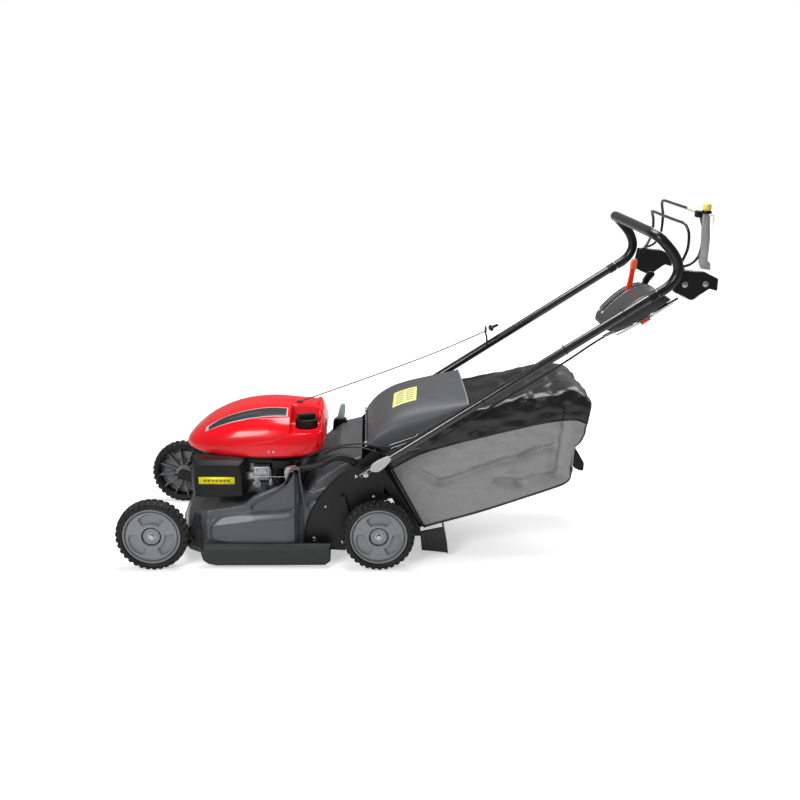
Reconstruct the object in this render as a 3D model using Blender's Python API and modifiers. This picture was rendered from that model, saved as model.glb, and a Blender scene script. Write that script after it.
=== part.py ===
"""A self-propelled rotary lawn mower with a grass bag, as an assembly of separate named pieces.

Metres, +Z up. -X is the front, +X the handle end, -Y the operator's left. The origin is on the ground,
under the middle of the whole machine. Heights below are given above the ground on wheels of the
standard radius; everything that the wheels carry hangs on one datum empty, so bigger wheels lift it.
"""

import math

import bmesh
import bpy
from mathutils import Matrix, Vector

# Driving sizes.
WHEEL_RADIUS = 0.1025
WHEEL_WIDTH = 0.045
STANDARD_WHEEL_RADIUS = 0.1025
FRONT_AXLE_X = -0.7255
REAR_AXLE_X = -0.0855
DECK_HALF_WIDTH = 0.250
FRONT_TUCK = 0.028  # how much narrower the deck is between the front wheels
REAR_TUCK = 0.039  # and between the rear wheels
SHEET = 0.003  # walls of the deck, the covers and the bag
PLATE = 0.003  # steel side plates and height quadrants
ARM_THICKNESS = 0.008
TUBE_RADIUS = 0.012
GRIP_RADIUS = 0.014
HOOP_RADIUS = 0.004
CABLE_RADIUS = 0.003
CRANK_X = -0.408
CRANK_RADIUS = 0.011
BLADE_RADIUS = 0.225
BLADE_WIDTH = 0.055
BLADE_Z = 0.062
BELT_Z = 0.150
BELT_HEIGHT = 0.010
BELT_THICKNESS = 0.004
CRANK_PULLEY_RADIUS = 0.028
DRIVE_PULLEY_RADIUS = 0.042
DRIVE_SHAFT_RADIUS = 0.008
DRIVE_SHAFT_AHEAD = 0.0795  # of the rear axle
DRIVE_SHAFT_Z = 0.110
SPINDLE_RADIUS = 0.0075
ENGINE_PAD_Z = 0.165  # flat floor of the deck's basin, where the engine stands
HOOD_HALF_WIDTH = 0.196
BAG_HALF_WIDTH = 0.188
HANDLE_PIVOT = (-0.123, 0.285)
HOOP_PIVOT = (0.735, 0.850)
GAP = 0.0003  # between pieces that touch
ROUND = 24  # sides of a round piece
WHEEL_SIDES = 28

# Sizes that follow.
WHEEL_INNER = DECK_HALF_WIDTH - 0.0083  # inner face of a wheel, from the machine's middle
WHEEL_PLANE = WHEEL_INNER + WHEEL_WIDTH / 2
HANDLE_HALF_WIDTH = DECK_HALF_WIDTH
DRIVE_SHAFT_X = REAR_AXLE_X - DRIVE_SHAFT_AHEAD
DRIVE_PULLEY_Y = -(DECK_HALF_WIDTH - 0.095)
SIDES = (("left", -1), ("right", 1))

# Places, as (x, z) or (x, y, z).
FRONT_ARM_PIVOT = (-0.6315, 0.068)
FLAP_PIVOT = (0.026, 0.088)
FUEL_CAP = (-0.298, -0.080, 0.357)  # the middle of its lower face
THROTTLE = (0.617, -0.100, 0.755)  # where each lever is pivoted in the panel
SPEED = (0.664, -0.060, 0.762)
SELECTOR = (-0.205, 0.100, 0.336)
STARTER_ROPE = (
    (-0.323, 0.0, 0.4195),
    (-0.1785, 0.0575, 0.4580),
    (-0.034, 0.1150, 0.4975),
    (0.1105, 0.1750, 0.5400),
    (0.2540, 0.2295, 0.5905),
)
LOWER_CABLE = (
    (0.030, -0.216, 0.345),
    (-0.041, -0.226, 0.332),
    (-0.090, -0.222, 0.352),
    (-0.140, -0.216, 0.360),
    (-0.225, -0.212, 0.345),
    (-0.300, -0.190, 0.306),
    (-0.345, -0.172, 0.268),
)
CARRY_TUBE = (
    (-0.306, -0.200, 0.277),
    (-0.254, -0.200, 0.291),
    (-0.226, -0.200, 0.307),
    (-0.197, -0.200, 0.313),
    (-0.169, -0.200, 0.306),
    (-0.146, -0.200, 0.287),
)

COLOURS = {  # sRGB colour, roughness, metallic
    "deck_grey": ((0.36, 0.36, 0.37), 0.45, 0.1),
    "black_plastic": ((0.07, 0.07, 0.08), 0.5, 0.0),
    "black_gloss": ((0.05, 0.05, 0.05), 0.25, 0.2),
    "cover_red": ((0.92, 0.06, 0.16), 0.2, 0.0),
    "rubber": ((0.12, 0.12, 0.12), 0.8, 0.0),
    "rim_grey": ((0.50, 0.51, 0.52), 0.45, 0.2),
    "cast_metal": ((0.55, 0.56, 0.57), 0.5, 0.8),
    "steel": ((0.62, 0.62, 0.63), 0.35, 1.0),
    "hood_grey": ((0.38, 0.38, 0.39), 0.5, 0.0),
    "bag_cloth": ((0.42, 0.42, 0.43), 0.9, 0.0),
    "orange_plastic": ((0.92, 0.35, 0.22), 0.45, 0.0),
    "yellow_plastic": ((0.92, 0.88, 0.45), 0.45, 0.0),
    "green_plastic": ((0.58, 0.66, 0.62), 0.45, 0.0),
    "rope": ((0.15, 0.15, 0.15), 0.9, 0.0),
}


def clear_scene():
    """Empties the scene, whatever it opened with."""
    for thing in list(bpy.data.objects):
        bpy.data.objects.remove(thing, do_unlink=True)


def new_collection(name):
    made = bpy.data.collections.new(name)
    bpy.context.scene.collection.children.link(made)
    return made


clear_scene()
MOWER = new_collection("lawn_mower")
CUTTERS = new_collection("cutters")
CUTTERS.hide_render = True
PIVOTS = {}  # each empty's place, by name


def linear(level):
    """An sRGB level as the linear one that a shader takes."""
    return level / 12.92 if level <= 0.04045 else ((level + 0.055) / 1.055) ** 2.4


def paint(name):
    """The material of that name, made the first time it is asked for."""
    made = bpy.data.materials.get(name)
    if made is None:
        colour, roughness, metallic = COLOURS[name]
        made = bpy.data.materials.new(name)
        made.use_nodes = True
        shader = made.node_tree.nodes["Principled BSDF"]
        shader.inputs["Base Color"].default_value = (*map(linear, colour), 1)
        shader.inputs["Roughness"].default_value = roughness
        shader.inputs["Metallic"].default_value = metallic
    return made


def pivot(name, place, parent=None):
    """An empty at a joint's axis, on which the pieces of one moving body hang."""
    empty = bpy.data.objects.new(name + "_pivot", None)
    MOWER.objects.link(empty)
    empty.empty_display_size = 0.02
    empty.parent = parent
    above = PIVOTS[parent.name] if parent else Vector((0, 0, 0))
    empty.location = Vector(place) - above
    PIVOTS[empty.name] = Vector(place)
    return empty


def hang(piece, material, body):
    """Gives a finished piece its material and hangs it on its body's empty, where it already lies."""
    piece.data.materials.clear()
    piece.data.materials.append(paint(material))
    piece.parent = body
    piece.location = piece.location - PIVOTS[body.name]
    if piece.type == "MESH":
        piece.data.shade_smooth()
        piece.data.set_sharp_from_angle(angle=math.radians(35))
    return piece


def link(name, data, place=(0, 0, 0)):
    made = bpy.data.objects.new(name, data)
    MOWER.objects.link(made)
    made.location = place
    return made


def mesh_piece(name, build, place=(0, 0, 0)):
    """An object whose mesh is what build(bm) leaves in a bmesh."""
    bm = bmesh.new()
    build(bm)
    mesh = bpy.data.meshes.new(name)
    bm.to_mesh(mesh)
    bm.free()
    return link(name, mesh, place)


def rounded(piece, width, segments=1):
    """Rounds the piece's sharp edges."""
    bevel = piece.modifiers.new("Bevel", "BEVEL")
    bevel.width = width
    bevel.segments = segments
    bevel.limit_method = "ANGLE"
    return piece


def block(name, low, high):
    """A box between two corners."""
    low, high = Vector(low), Vector(high)
    size = Matrix.Diagonal((*(high - low), 1))
    return mesh_piece(name, lambda bm: bmesh.ops.create_cube(bm, size=1, matrix=size), (low + high) / 2)


def rod(name, radius, start, end, sides=ROUND):
    """A straight round bar from start to end."""
    start, end = Vector(start), Vector(end)
    along = end - start
    turn = along.to_track_quat("Z", "Y").to_matrix().to_4x4()

    def build(bm):
        bmesh.ops.create_cone(
            bm, cap_ends=True, segments=sides, radius1=radius, radius2=radius, depth=along.length, matrix=turn
        )

    return mesh_piece(name, build, (start + end) / 2)


def turned(name, outline, place, facing="UP", steps=ROUND):
    """A shape turned from a closed outline of (radius, height) points, with its axis up, left or right."""
    area = sum(a[0] * b[1] - b[0] * a[1] for a, b in zip(outline, outline[1:] + outline[:1]))
    points = outline[::-1] if area > 0 else outline

    def build(bm):
        verts = [bm.verts.new((radius, 0, height)) for radius, height in points]
        for here, there in zip(verts, verts[1:] + verts[:1]):
            bm.edges.new((here, there))

    made = mesh_piece(name, build, place)
    screw = made.modifiers.new("Screw", "SCREW")
    screw.steps = screw.render_steps = steps
    screw.merge_threshold = 1e-5
    screw.use_merge_vertices = True
    made.rotation_euler.x = {"UP": 0, "LEFT": math.pi / 2, "RIGHT": -math.pi / 2}[facing]
    return made


def pipe(name, points, radius, closed=False):
    """A round bar bent along the points."""
    curve = bpy.data.curves.new(name, "CURVE")
    curve.dimensions = "3D"
    curve.bevel_depth = radius
    curve.bevel_resolution = 2
    curve.use_fill_caps = not closed
    spline = curve.splines.new("POLY")
    spline.points.add(len(points) - 1)
    for point, place in zip(spline.points, points):
        point.co = (*place, 1)
    spline.use_cyclic_u = closed
    return link(name, curve)


def as_mesh(piece):
    """The same piece as a mesh, with its caps welded on."""
    bpy.context.view_layer.update()
    evaluated = piece.evaluated_get(bpy.context.evaluated_depsgraph_get())
    mesh = bpy.data.meshes.new_from_object(evaluated)
    bm = bmesh.new()
    bm.from_mesh(mesh)
    bmesh.ops.remove_doubles(bm, verts=bm.verts, dist=1e-6)
    bmesh.ops.recalc_face_normals(bm, faces=bm.faces)
    bm.to_mesh(mesh)
    bm.free()
    name, matrix = piece.name, piece.matrix_world.copy()
    bpy.data.objects.remove(piece, do_unlink=True)
    made = link(name, mesh)
    mesh.name = name
    mesh.transform(matrix.to_3x3().to_4x4())
    made.location = matrix.translation
    return made


def circle(centre, radius, sides=ROUND):
    """Points round a circle in a flat outline's own two directions."""
    angles = [math.tau * k / sides for k in range(sides)]
    return [(centre[0] + radius * math.cos(a), centre[1] + radius * math.sin(a)) for a in angles]


def flat(name, outlines, low, high, standing=True):
    """A flat plate from outlines, the first its edge and the rest its holes.

    A standing plate's outlines are in (x, z), and it reaches from y = low to y = high. A lying one's are
    in (x, y), and it reaches from z = low to z = high.
    """
    curve = bpy.data.curves.new(name, "CURVE")
    curve.dimensions = "2D"
    curve.fill_mode = "BOTH"
    curve.extrude = (high - low) / 2
    for outline in outlines:
        spline = curve.splines.new("POLY")
        spline.points.add(len(outline) - 1)
        for point, (across, up) in zip(spline.points, outline):
            point.co = (across, up, 0, 1)
        spline.use_cyclic_u = True
    middle = (low + high) / 2
    made = link(name, curve, (0, middle, 0) if standing else (0, 0, middle))
    if standing:
        made.rotation_euler.x = math.pi / 2
    return as_mesh(made)


def loft(name, rows, ring=False):
    """A surface through rows of points that run from left over the top to right, front row first."""

    def build(bm):
        grid = [[bm.verts.new(point) for point in row] for row in rows]
        count = len(rows[0])
        for front, back in zip(grid, grid[1:]):
            for j in range(count if ring else count - 1):
                k = (j + 1) % count
                bm.faces.new((front[j], back[j], back[k], front[k]))
        bmesh.ops.remove_doubles(bm, verts=bm.verts, dist=1e-6)
        bmesh.ops.dissolve_degenerate(bm, dist=1e-6, edges=bm.edges)

    return mesh_piece(name, build)


def thick(piece, wall=SHEET):
    """Gives a surface its wall, on its inner side."""
    solid = piece.modifiers.new("Solidify", "SOLIDIFY")
    solid.thickness = wall
    solid.offset = -1
    solid.use_even_offset = True
    return piece


def combine(piece, operation, other):
    """Cuts the other shape from the piece, or joins it on."""
    boolean = piece.modifiers.new(other.name, "BOOLEAN")
    boolean.operation = operation
    boolean.object = other
    MOWER.objects.unlink(other)
    CUTTERS.objects.link(other)
    other.hide_render = True
    other.display_type = "WIRE"
    return piece


def settled(piece):
    """The piece with its modifiers applied, and the shapes that they used removed."""
    used = [modifier.object for modifier in piece.modifiers if modifier.type == "BOOLEAN"]
    made = as_mesh(piece)
    for other in used:
        bpy.data.objects.remove(other, do_unlink=True)
    return made


def cut(piece, other):
    return combine(piece, "DIFFERENCE", other)


def join(piece, *others):
    for other in others:
        combine(piece, "UNION", other)
    return piece


def bore(radius):
    """Radius of a round hole in which a bar of that radius turns, both with flat sides."""
    return radius / math.cos(math.pi / ROUND) + GAP


def arch(x, half, edge, top, squareness, count=17):
    """Points of a superellipse arch across the machine, from its left edge over the top to its right."""
    points = []
    for k in range(count):
        angle = math.pi * (1 - k / (count - 1))
        across = math.copysign(abs(math.cos(angle)) ** (2 / squareness), math.cos(angle))
        up = math.sin(angle) ** (2 / squareness) if 0 < k < count - 1 else 0
        points.append((x, half * across, edge + (top - edge) * up))
    return points


def smooth_route(points, steps):
    """Points on a smooth curve (Catmull-Rom) through the route's points, so many steps to a stretch."""
    route = [Vector(point) for point in points]
    ends = [2 * route[0] - route[1], *route, 2 * route[-1] - route[-2]]
    curve = []
    for a, b, c, d in zip(ends, ends[1:], ends[2:], ends[3:]):
        for k in range(steps):
            t = k / steps
            bend = 2 * b + (c - a) * t + (2 * a - 5 * b + 4 * c - d) * t**2 + (3 * b - a - 3 * c + d) * t**3
            curve.append(bend / 2)
    return [*curve, route[-1]]


def mirrored(points, side):
    """The same points on the machine's left (side -1) or right (side 1)."""
    return [(x, side * y, z) for x, y, z in points]


def span(side, near, far):
    """Low and high y of what lies between two distances from the middle, on one side."""
    return (near, far) if side > 0 else (-far, -near)


def deck_row(x, half, base, shoulder, ridge_y, ridge, valley_y, valley, crown_y, crown):
    """One section of the deck: side wall, shoulder, ridge, the basin behind it and the crown in the middle."""
    side = [
        (half, base),
        (half, shoulder - 0.020),
        (half - 0.012, shoulder),
        (ridge_y + 0.008, ridge),
        (ridge_y - 0.012, ridge),
        (valley_y, valley),
        (crown_y, crown),
    ]
    left = [(x, -y, z) for y, z in side]
    return [*left, (x, 0, crown), *((x, y, z) for y, z in reversed(side))]


def build_deck(chassis):
    """The open-bottomed deck, from its nose over the engine's basin to the grass tunnel."""
    pad = ENGINE_PAD_Z
    wide, front, rear = DECK_HALF_WIDTH, DECK_HALF_WIDTH - FRONT_TUCK, DECK_HALF_WIDTH - REAR_TUCK
    rows = [
        deck_row(-0.655, front - 0.072, 0.035, 0.095, 0.120, 0.110, 0.095, 0.112, 0.06, 0.115),
        deck_row(-0.635, front - 0.022, 0.030, 0.130, 0.165, 0.145, 0.135, 0.148, 0.08, 0.150),
        deck_row(-0.600, front, 0.028, 0.145, 0.192, 0.157, 0.165, 0.157, 0.10, 0.157),
        deck_row(-0.575, wide - 0.002, 0.028, 0.140, 0.215, 0.160, 0.168, 0.160, 0.10, 0.160),
        deck_row(-0.550, wide, 0.028, 0.140, 0.220, 0.163, 0.170, pad, 0.10, pad),
        deck_row(-0.470, wide, 0.028, 0.150, 0.220, 0.176, 0.170, pad, 0.10, pad),
        deck_row(-0.445, wide, 0.028, 0.155, 0.220, 0.199, 0.180, pad, 0.10, pad),
        deck_row(-0.345, wide, 0.028, 0.165, 0.220, 0.243, 0.180, pad, 0.10, pad),
        deck_row(-0.325, wide - 0.004, 0.028, 0.172, 0.216, 0.280, 0.180, 0.180, 0.10, pad),
        deck_row(-0.314, wide - 0.024, 0.028, 0.172, 0.203, 0.262, 0.175, 0.180, 0.10, pad),
        deck_row(-0.300, rear + 0.002, 0.028, 0.172, 0.190, 0.200, 0.165, 0.190, 0.10, 0.210),
        deck_row(-0.270, rear, 0.030, 0.178, 0.188, 0.195, 0.165, 0.225, 0.12, 0.262),
        deck_row(-0.200, rear - 0.002, 0.045, 0.205, 0.186, 0.222, 0.165, 0.275, 0.12, 0.325),
        deck_row(-0.135, rear - 0.006, 0.090, 0.240, 0.182, 0.262, 0.165, 0.305, 0.13, 0.338),
    ]
    nose = [(x, y, rows[0][0][2]) for x, y, z in rows[0]]
    deck = settled(thick(loft("deck_shell", [nose, *rows])))
    shaft_hole = rod("deck_shaft_hole", CRANK_RADIUS + 0.005, (CRANK_X, 0, 0.1), (CRANK_X, 0, 0.2))
    deck = settled(cut(deck, shaft_hole))
    for side, s in SIDES:
        ends = [(DRIVE_SHAFT_X, s * y, DRIVE_SHAFT_Z) for y in (DECK_HALF_WIDTH - 0.060, DECK_HALF_WIDTH)]
        cut(deck, rod(f"axle_hole_{side}", DRIVE_SHAFT_RADIUS + 0.002, *ends))
    hang(settled(deck), "deck_grey", chassis)


def build_sides(chassis):
    """Skirts, steel side plates with the handle's pivot bosses, and the front height quadrants."""
    skirt = [(-0.594, 0.060), (-0.588, 0.023), (-0.552, 0.008), (-0.227, 0.011), (-0.221, 0.050), (-0.232, 0.073)]
    skirt.append((-0.586, 0.073))
    plate = [(-0.297, 0.040), (-0.183, 0.034), (-0.100, 0.080), (-0.070, 0.140), (-0.072, 0.240), (-0.086, 0.336)]
    plate += [(-0.106, 0.336), (-0.149, 0.294), (-0.197, 0.264), (-0.252, 0.205), (-0.285, 0.140), (-0.299, 0.070)]
    shaft_hole = circle((DRIVE_SHAFT_X, DRIVE_SHAFT_Z), bore(DRIVE_SHAFT_RADIUS))
    quadrant = [(-0.630, 0.118), (-0.622, 0.118), (-0.590, 0.089), (-0.592, 0.041), (-0.628, 0.041)]
    quadrant += [(-0.645, 0.056), (-0.645, 0.080)]
    plate_y = DECK_HALF_WIDTH - 0.0345
    arm_y = plate_y + PLATE + 0.008
    quadrant_y = arm_y + ARM_THICKNESS + 0.002
    for side, s in SIDES:
        low, high = span(s, DECK_HALF_WIDTH + GAP, DECK_HALF_WIDTH + 0.020)
        hang(rounded(flat(f"side_skirt_{side}", [skirt], low, high), 0.004), "black_plastic", chassis)
        low, high = span(s, plate_y, plate_y + PLATE)
        sheet = flat(f"side_plate_{side}", [plate, shaft_hole], low, high)
        x, z = HANDLE_PIVOT
        boss_end = HANDLE_HALF_WIDTH - TUBE_RADIUS - GAP
        boss = rod("boss", 0.009, (x, s * (plate_y + PLATE / 2), z), (x, s * boss_end, z))
        hang(settled(join(sheet, boss)), "black_gloss", chassis)
        low, high = span(s, quadrant_y, quadrant_y + PLATE)
        sheet = flat(f"height_quadrant_{side}", [quadrant], low, high)
        x, z = FRONT_ARM_PIVOT
        front_half = DECK_HALF_WIDTH - FRONT_TUCK
        pin = rod("pin", SPINDLE_RADIUS, (x, s * (front_half - 0.006), z), (x, s * (quadrant_y + 0.001), z))
        hang(settled(join(sheet, pin)), "steel", chassis)


def build_arm(name, side, near_y, hinge, hinge_radius, axle_x, lever_top, body):
    """One wheel's height arm: a bar from its pivot to the wheel, a lever, and the wheel's spindle."""
    end_radius = 0.017
    axle = (axle_x, STANDARD_WHEEL_RADIUS)
    low, high = span(side, near_y, near_y + ARM_THICKNESS)
    along = Vector((axle[0] - hinge[0], axle[1] - hinge[1])).normalized() * end_radius
    across = Vector((-along.y, along.x))
    corners = [Vector(hinge) - across, Vector(axle) - across, Vector(axle) + across, Vector(hinge) + across]
    arm = flat(name, [[tuple(corner) for corner in corners]], low, high)
    bulge = 0.0004  # the joined shapes stand apart by this, so that no two faces lie in one plane
    for place, radius in ((hinge, end_radius), (axle, end_radius)):
        round_end = rod("arm_end", radius, (place[0], low - bulge, place[1]), (place[0], high + bulge, place[1]))
        join(arm, round_end)
    handle = Vector(lever_top) - Vector(hinge)
    half = Vector((-handle.y, handle.x)).normalized() * 0.006
    outline = [tuple(Vector(hinge) - half), tuple(Vector(lever_top) - half)]
    outline += [tuple(Vector(lever_top) + half), tuple(Vector(hinge) + half)]
    join(arm, flat("arm_lever", [outline], low + bulge, high - bulge))
    tip = side * (WHEEL_PLANE + WHEEL_WIDTH / 2 - 0.0045)
    join(arm, rod("spindle", SPINDLE_RADIUS, (axle[0], (low + high) / 2, axle[1]), (axle[0], tip, axle[1])))
    ends = ((hinge[0], y, hinge[1]) for y in (low - 0.01, high + 0.01))
    hole = rod("arm_hole", bore(hinge_radius), *ends)
    hang(settled(cut(arm, hole)), "steel", body)


def build_wheel(name, side, axle_x, body):
    """A tyre on a rim that turns on the arm's spindle."""
    half = WHEEL_WIDTH / 2
    seat = WHEEL_RADIUS - 0.0205
    hub = bore(SPINDLE_RADIUS)
    rim = [(hub, 0.004 - half), (0.020, 0.004 - half), (0.022, 0.002), (seat - 0.012, 0.002)]
    rim += [(seat - 0.008, 0.003 - half)]
    rim += [(seat - GAP, 0.003 - half), (seat - GAP, half - 0.003), (seat - 0.005, half - 0.003)]
    rim += [(seat - 0.008, 0.011), (0.024, 0.013), (0.020, half - 0.004), (hub, half - 0.004)]
    tyre = [(seat, 0.002 - half), (WHEEL_RADIUS - 0.007, -half), (WHEEL_RADIUS, 0.0075 - half)]
    tyre += [(WHEEL_RADIUS, half - 0.0075), (WHEEL_RADIUS - 0.007, half), (seat, half - 0.002)]
    place = (axle_x, side * WHEEL_PLANE, STANDARD_WHEEL_RADIUS)
    facing = "RIGHT" if side > 0 else "LEFT"
    hang(turned(f"{name}_rim", rim, place, facing, WHEEL_SIDES), "rim_grey", body)
    hang(turned(f"{name}_tyre", tyre, place, facing, WHEEL_SIDES), "rubber", body)


def build_running_gear(datum):
    """Four wheels, each on its own height arm."""
    plate_outer = DECK_HALF_WIDTH - 0.0345 + PLATE
    near_y = plate_outer + 0.006
    for side, s in SIDES:
        for end, hinge, hinge_radius, axle_x, lever_top in (
            ("front", FRONT_ARM_PIVOT, SPINDLE_RADIUS, FRONT_AXLE_X, (-0.604, 0.150)),
            ("rear", (DRIVE_SHAFT_X, DRIVE_SHAFT_Z), DRIVE_SHAFT_RADIUS, REAR_AXLE_X, (-0.190, 0.205)),
        ):
            arm_body = pivot(f"{end}_{side}_arm", (hinge[0], 0, hinge[1]), datum)
            build_arm(f"{end}_{side}_arm", s, near_y, hinge, hinge_radius, axle_x, lever_top, arm_body)
            place = (axle_x, s * WHEEL_PLANE, STANDARD_WHEEL_RADIUS)
            build_wheel(f"{end}_{side}", s, axle_x, pivot(f"{end}_{side}_wheel", place, arm_body))


def build_engine(chassis):
    """Engine block, shroud, red cover, fuel tank, air filter, carburettor, muffler and spark plug."""
    top = 0.288
    block_low = ENGINE_PAD_Z + GAP
    engine = rod("engine_block", 0.085, (CRANK_X, 0, block_low), (CRANK_X, 0, top - GAP))
    join(engine, block("foot", (-0.520, -0.098, block_low + 0.001), (-0.335, 0.098, 0.185)))
    for k in range(5):
        z = 0.196 + 0.017 * k
        join(engine, block("fin", (-0.562, -0.060, z), (-0.440, 0.060, z + 0.006)))
    join(engine, block("barrel", (-0.556, -0.040, 0.190), (-0.440, 0.040, 0.275)))
    join(engine, block("silencer", (-0.556, 0.050, 0.196), (-0.460, 0.140, 0.272)))
    join(engine, rod("spark_plug", 0.010, (-0.540, 0, 0.232), (-0.582, 0, 0.232)))
    join(engine, rod("plug_cap", 0.008, (-0.580, 0, 0.232), (-0.606, 0, 0.232)))
    crank_bore = rod("crank_bore", bore(CRANK_RADIUS), (CRANK_X, 0, 0.1), (CRANK_X, 0, 0.4))
    hang(settled(cut(engine, crank_bore)), "cast_metal", chassis)

    tray = [(-0.622, -0.070), (-0.570, -0.125), (-0.490, -0.145), (-0.310, -0.145), (-0.262, -0.110)]
    tray += [(x, -y) for x, y in reversed(tray)]
    hole = circle((CRANK_X, 0), CRANK_RADIUS + 0.012)
    hang(flat("fan_shroud", [tray, hole], top, top + 0.005, standing=False), "black_plastic", chassis)

    rows = [
        arch(-0.652, 0.045, 0.306, 0.318, 2.4),
        arch(-0.625, 0.095, 0.306, 0.340, 2.6),
        arch(-0.578, 0.132, 0.304, 0.376, 2.8),
        arch(-0.502, 0.154, 0.301, 0.411, 3.0),
        arch(-0.412, 0.160, 0.301, 0.424, 3.0),
        arch(-0.323, 0.158, 0.302, 0.414, 3.0),
        arch(-0.275, 0.150, 0.312, 0.402, 3.2),
        arch(-0.250, 0.135, 0.322, 0.390, 3.2),
        arch(-0.240, 0.115, 0.330, 0.366, 3.0),
    ]
    front = [(x, y, rows[0][0][2]) for x, y, z in rows[0]]
    back = [(x, y, rows[-1][0][2]) for x, y, z in rows[-1]]
    cover = settled(thick(loft("engine_cover", [front, *rows, back])))
    cap_x, cap_y, cap_low = FUEL_CAP
    well = rod("cap_well", 0.037, (cap_x, cap_y, 0.34), (cap_x, cap_y, 0.46))
    hang(cut(cover, well), "cover_red", chassis)

    tank = block("fuel_tank", (-0.322, -0.118, top + 0.012), (-0.256, 0.100, 0.342))
    neck = rod("neck", 0.020, (cap_x, cap_y, 0.330), (cap_x, cap_y, cap_low - GAP))
    hang(settled(join(tank, neck)), "black_plastic", chassis)

    case = block("air_filter_cover", (-0.615, -0.206, 0.1915), (-0.472, -0.135, 0.2875))
    hollow = block("case_hollow", (-0.611, -0.202, 0.196), (-0.476, -0.130, 0.284))
    hang(settled(cut(case, hollow)), "black_plastic", chassis)

    carb = block("carburettor", (-0.455, -0.165, 0.215), (-0.375, -0.110, 0.262))
    join(carb, rod("bowl", 0.019, (-0.425, -0.138, 0.180), (-0.425, -0.138, 0.220)))
    join(carb, rod("throat", 0.015, (-0.4717, -0.150, 0.236), (-0.440, -0.150, 0.236)))
    hang(settled(carb), "cast_metal", chassis)


def build_fuel_cap(body):
    """The knurled fuel cap, with a grip bar across it."""
    x, y, low = FUEL_CAP
    cap = rod("fuel_cap", 0.0325, (x, y, low), (x, y, low + 0.042))
    join(cap, block("cap_bar", (x - 0.026, y - 0.006, low + 0.038), (x + 0.026, y + 0.006, low + 0.052)))
    hang(settled(cap), "black_plastic", body)


def build_crank(body):
    """Everything that turns with the crankshaft: its pulley, the flywheel and the cutting blade."""
    shaft_low, shaft_high = BLADE_Z - 0.014, 0.318
    shaft = [(0, shaft_low), (0.016, shaft_low), (0.016, BLADE_Z - GAP), (CRANK_RADIUS, BLADE_Z - GAP)]
    low, high = BELT_Z - BELT_HEIGHT / 2 - 0.002, BELT_Z + BELT_HEIGHT / 2 - 0.001
    shaft += [(CRANK_RADIUS, low), (CRANK_PULLEY_RADIUS, low), (CRANK_PULLEY_RADIUS, high), (CRANK_RADIUS, high)]
    shaft += [(CRANK_RADIUS, shaft_high), (0, shaft_high)]
    hang(turned("crankshaft", shaft, (CRANK_X, 0, 0)), "steel", body)
    hole = bore(CRANK_RADIUS)
    wheel = [(hole, 0.297), (0.075, 0.297), (0.075, 0.314), (hole, 0.314)]
    hang(turned("flywheel", wheel, (CRANK_X, 0, 0)), "cast_metal", body)
    low, high = BLADE_Z, BLADE_Z + 0.004
    half = BLADE_WIDTH / 2
    blade = block("cutting_blade", (CRANK_X - BLADE_RADIUS, -half, low), (CRANK_X + BLADE_RADIUS, half, high))
    hole = rod("blade_hole", bore(CRANK_RADIUS), (CRANK_X, 0, low - 0.01), (CRANK_X, 0, high + 0.01))
    hang(settled(cut(blade, hole)), "steel", body)


def build_drive(chassis, shaft_body, pulley_body):
    """The transmission, its pulley and belt, and the shaft across to both side plates."""
    pulley_low = BELT_Z - BELT_HEIGHT / 2 - 0.002
    case_low, case_high = 0.086, pulley_low - 0.006
    middle = DRIVE_PULLEY_Y
    x, z, half = DRIVE_SHAFT_X, DRIVE_SHAFT_Z, 0.038
    case = block("transmission_case", (x - half, middle - half, case_low), (x + half, middle + half, case_high))
    far = DECK_HALF_WIDTH
    bored = rod("case_bore", bore(DRIVE_SHAFT_RADIUS), (x, -far, z), (x, far, z))
    hang(settled(cut(settled(rounded(case, 0.008)), bored)), "cast_metal", chassis)
    reach = DECK_HALF_WIDTH - 0.0355  # it ends at the side plates, whose bosses carry the rear arms
    hang(rod("drive_shaft", DRIVE_SHAFT_RADIUS, (x, -reach, z), (x, reach, z)), "steel", shaft_body)
    high = BELT_Z + BELT_HEIGHT / 2 - 0.001
    wheel = [(0, case_high + GAP), (0.009, case_high + GAP), (0.009, pulley_low)]
    wheel += [(DRIVE_PULLEY_RADIUS, pulley_low), (DRIVE_PULLEY_RADIUS, high), (0, high)]
    hang(turned("drive_pulley", wheel, (x, middle, 0)), "steel", pulley_body)

    def loop(extra):
        """The belt's line round both pulleys, standing off them by extra."""
        start, end = Vector((CRANK_X, 0)), Vector((DRIVE_SHAFT_X, middle))
        small, large = CRANK_PULLEY_RADIUS + extra, DRIVE_PULLEY_RADIUS + extra
        apart = end - start
        heading = math.atan2(apart.y, apart.x)
        lean = math.acos((small - large) / apart.length)
        points = []
        for centre, radius, first, last in ((end, large, -lean, lean), (start, small, lean, math.tau - lean)):
            for k in range(13):
                angle = heading + first + (last - first) * k / 12
                points.append((centre.x + radius * math.cos(angle), centre.y + radius * math.sin(angle)))
        return points

    low, high = BELT_Z - BELT_HEIGHT / 2, BELT_Z + BELT_HEIGHT / 2
    inner = 0.0012
    belt = flat("drive_belt", [loop(inner + BELT_THICKNESS), loop(inner)], low, high, standing=False)
    hang(belt, "rubber", chassis)


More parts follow.
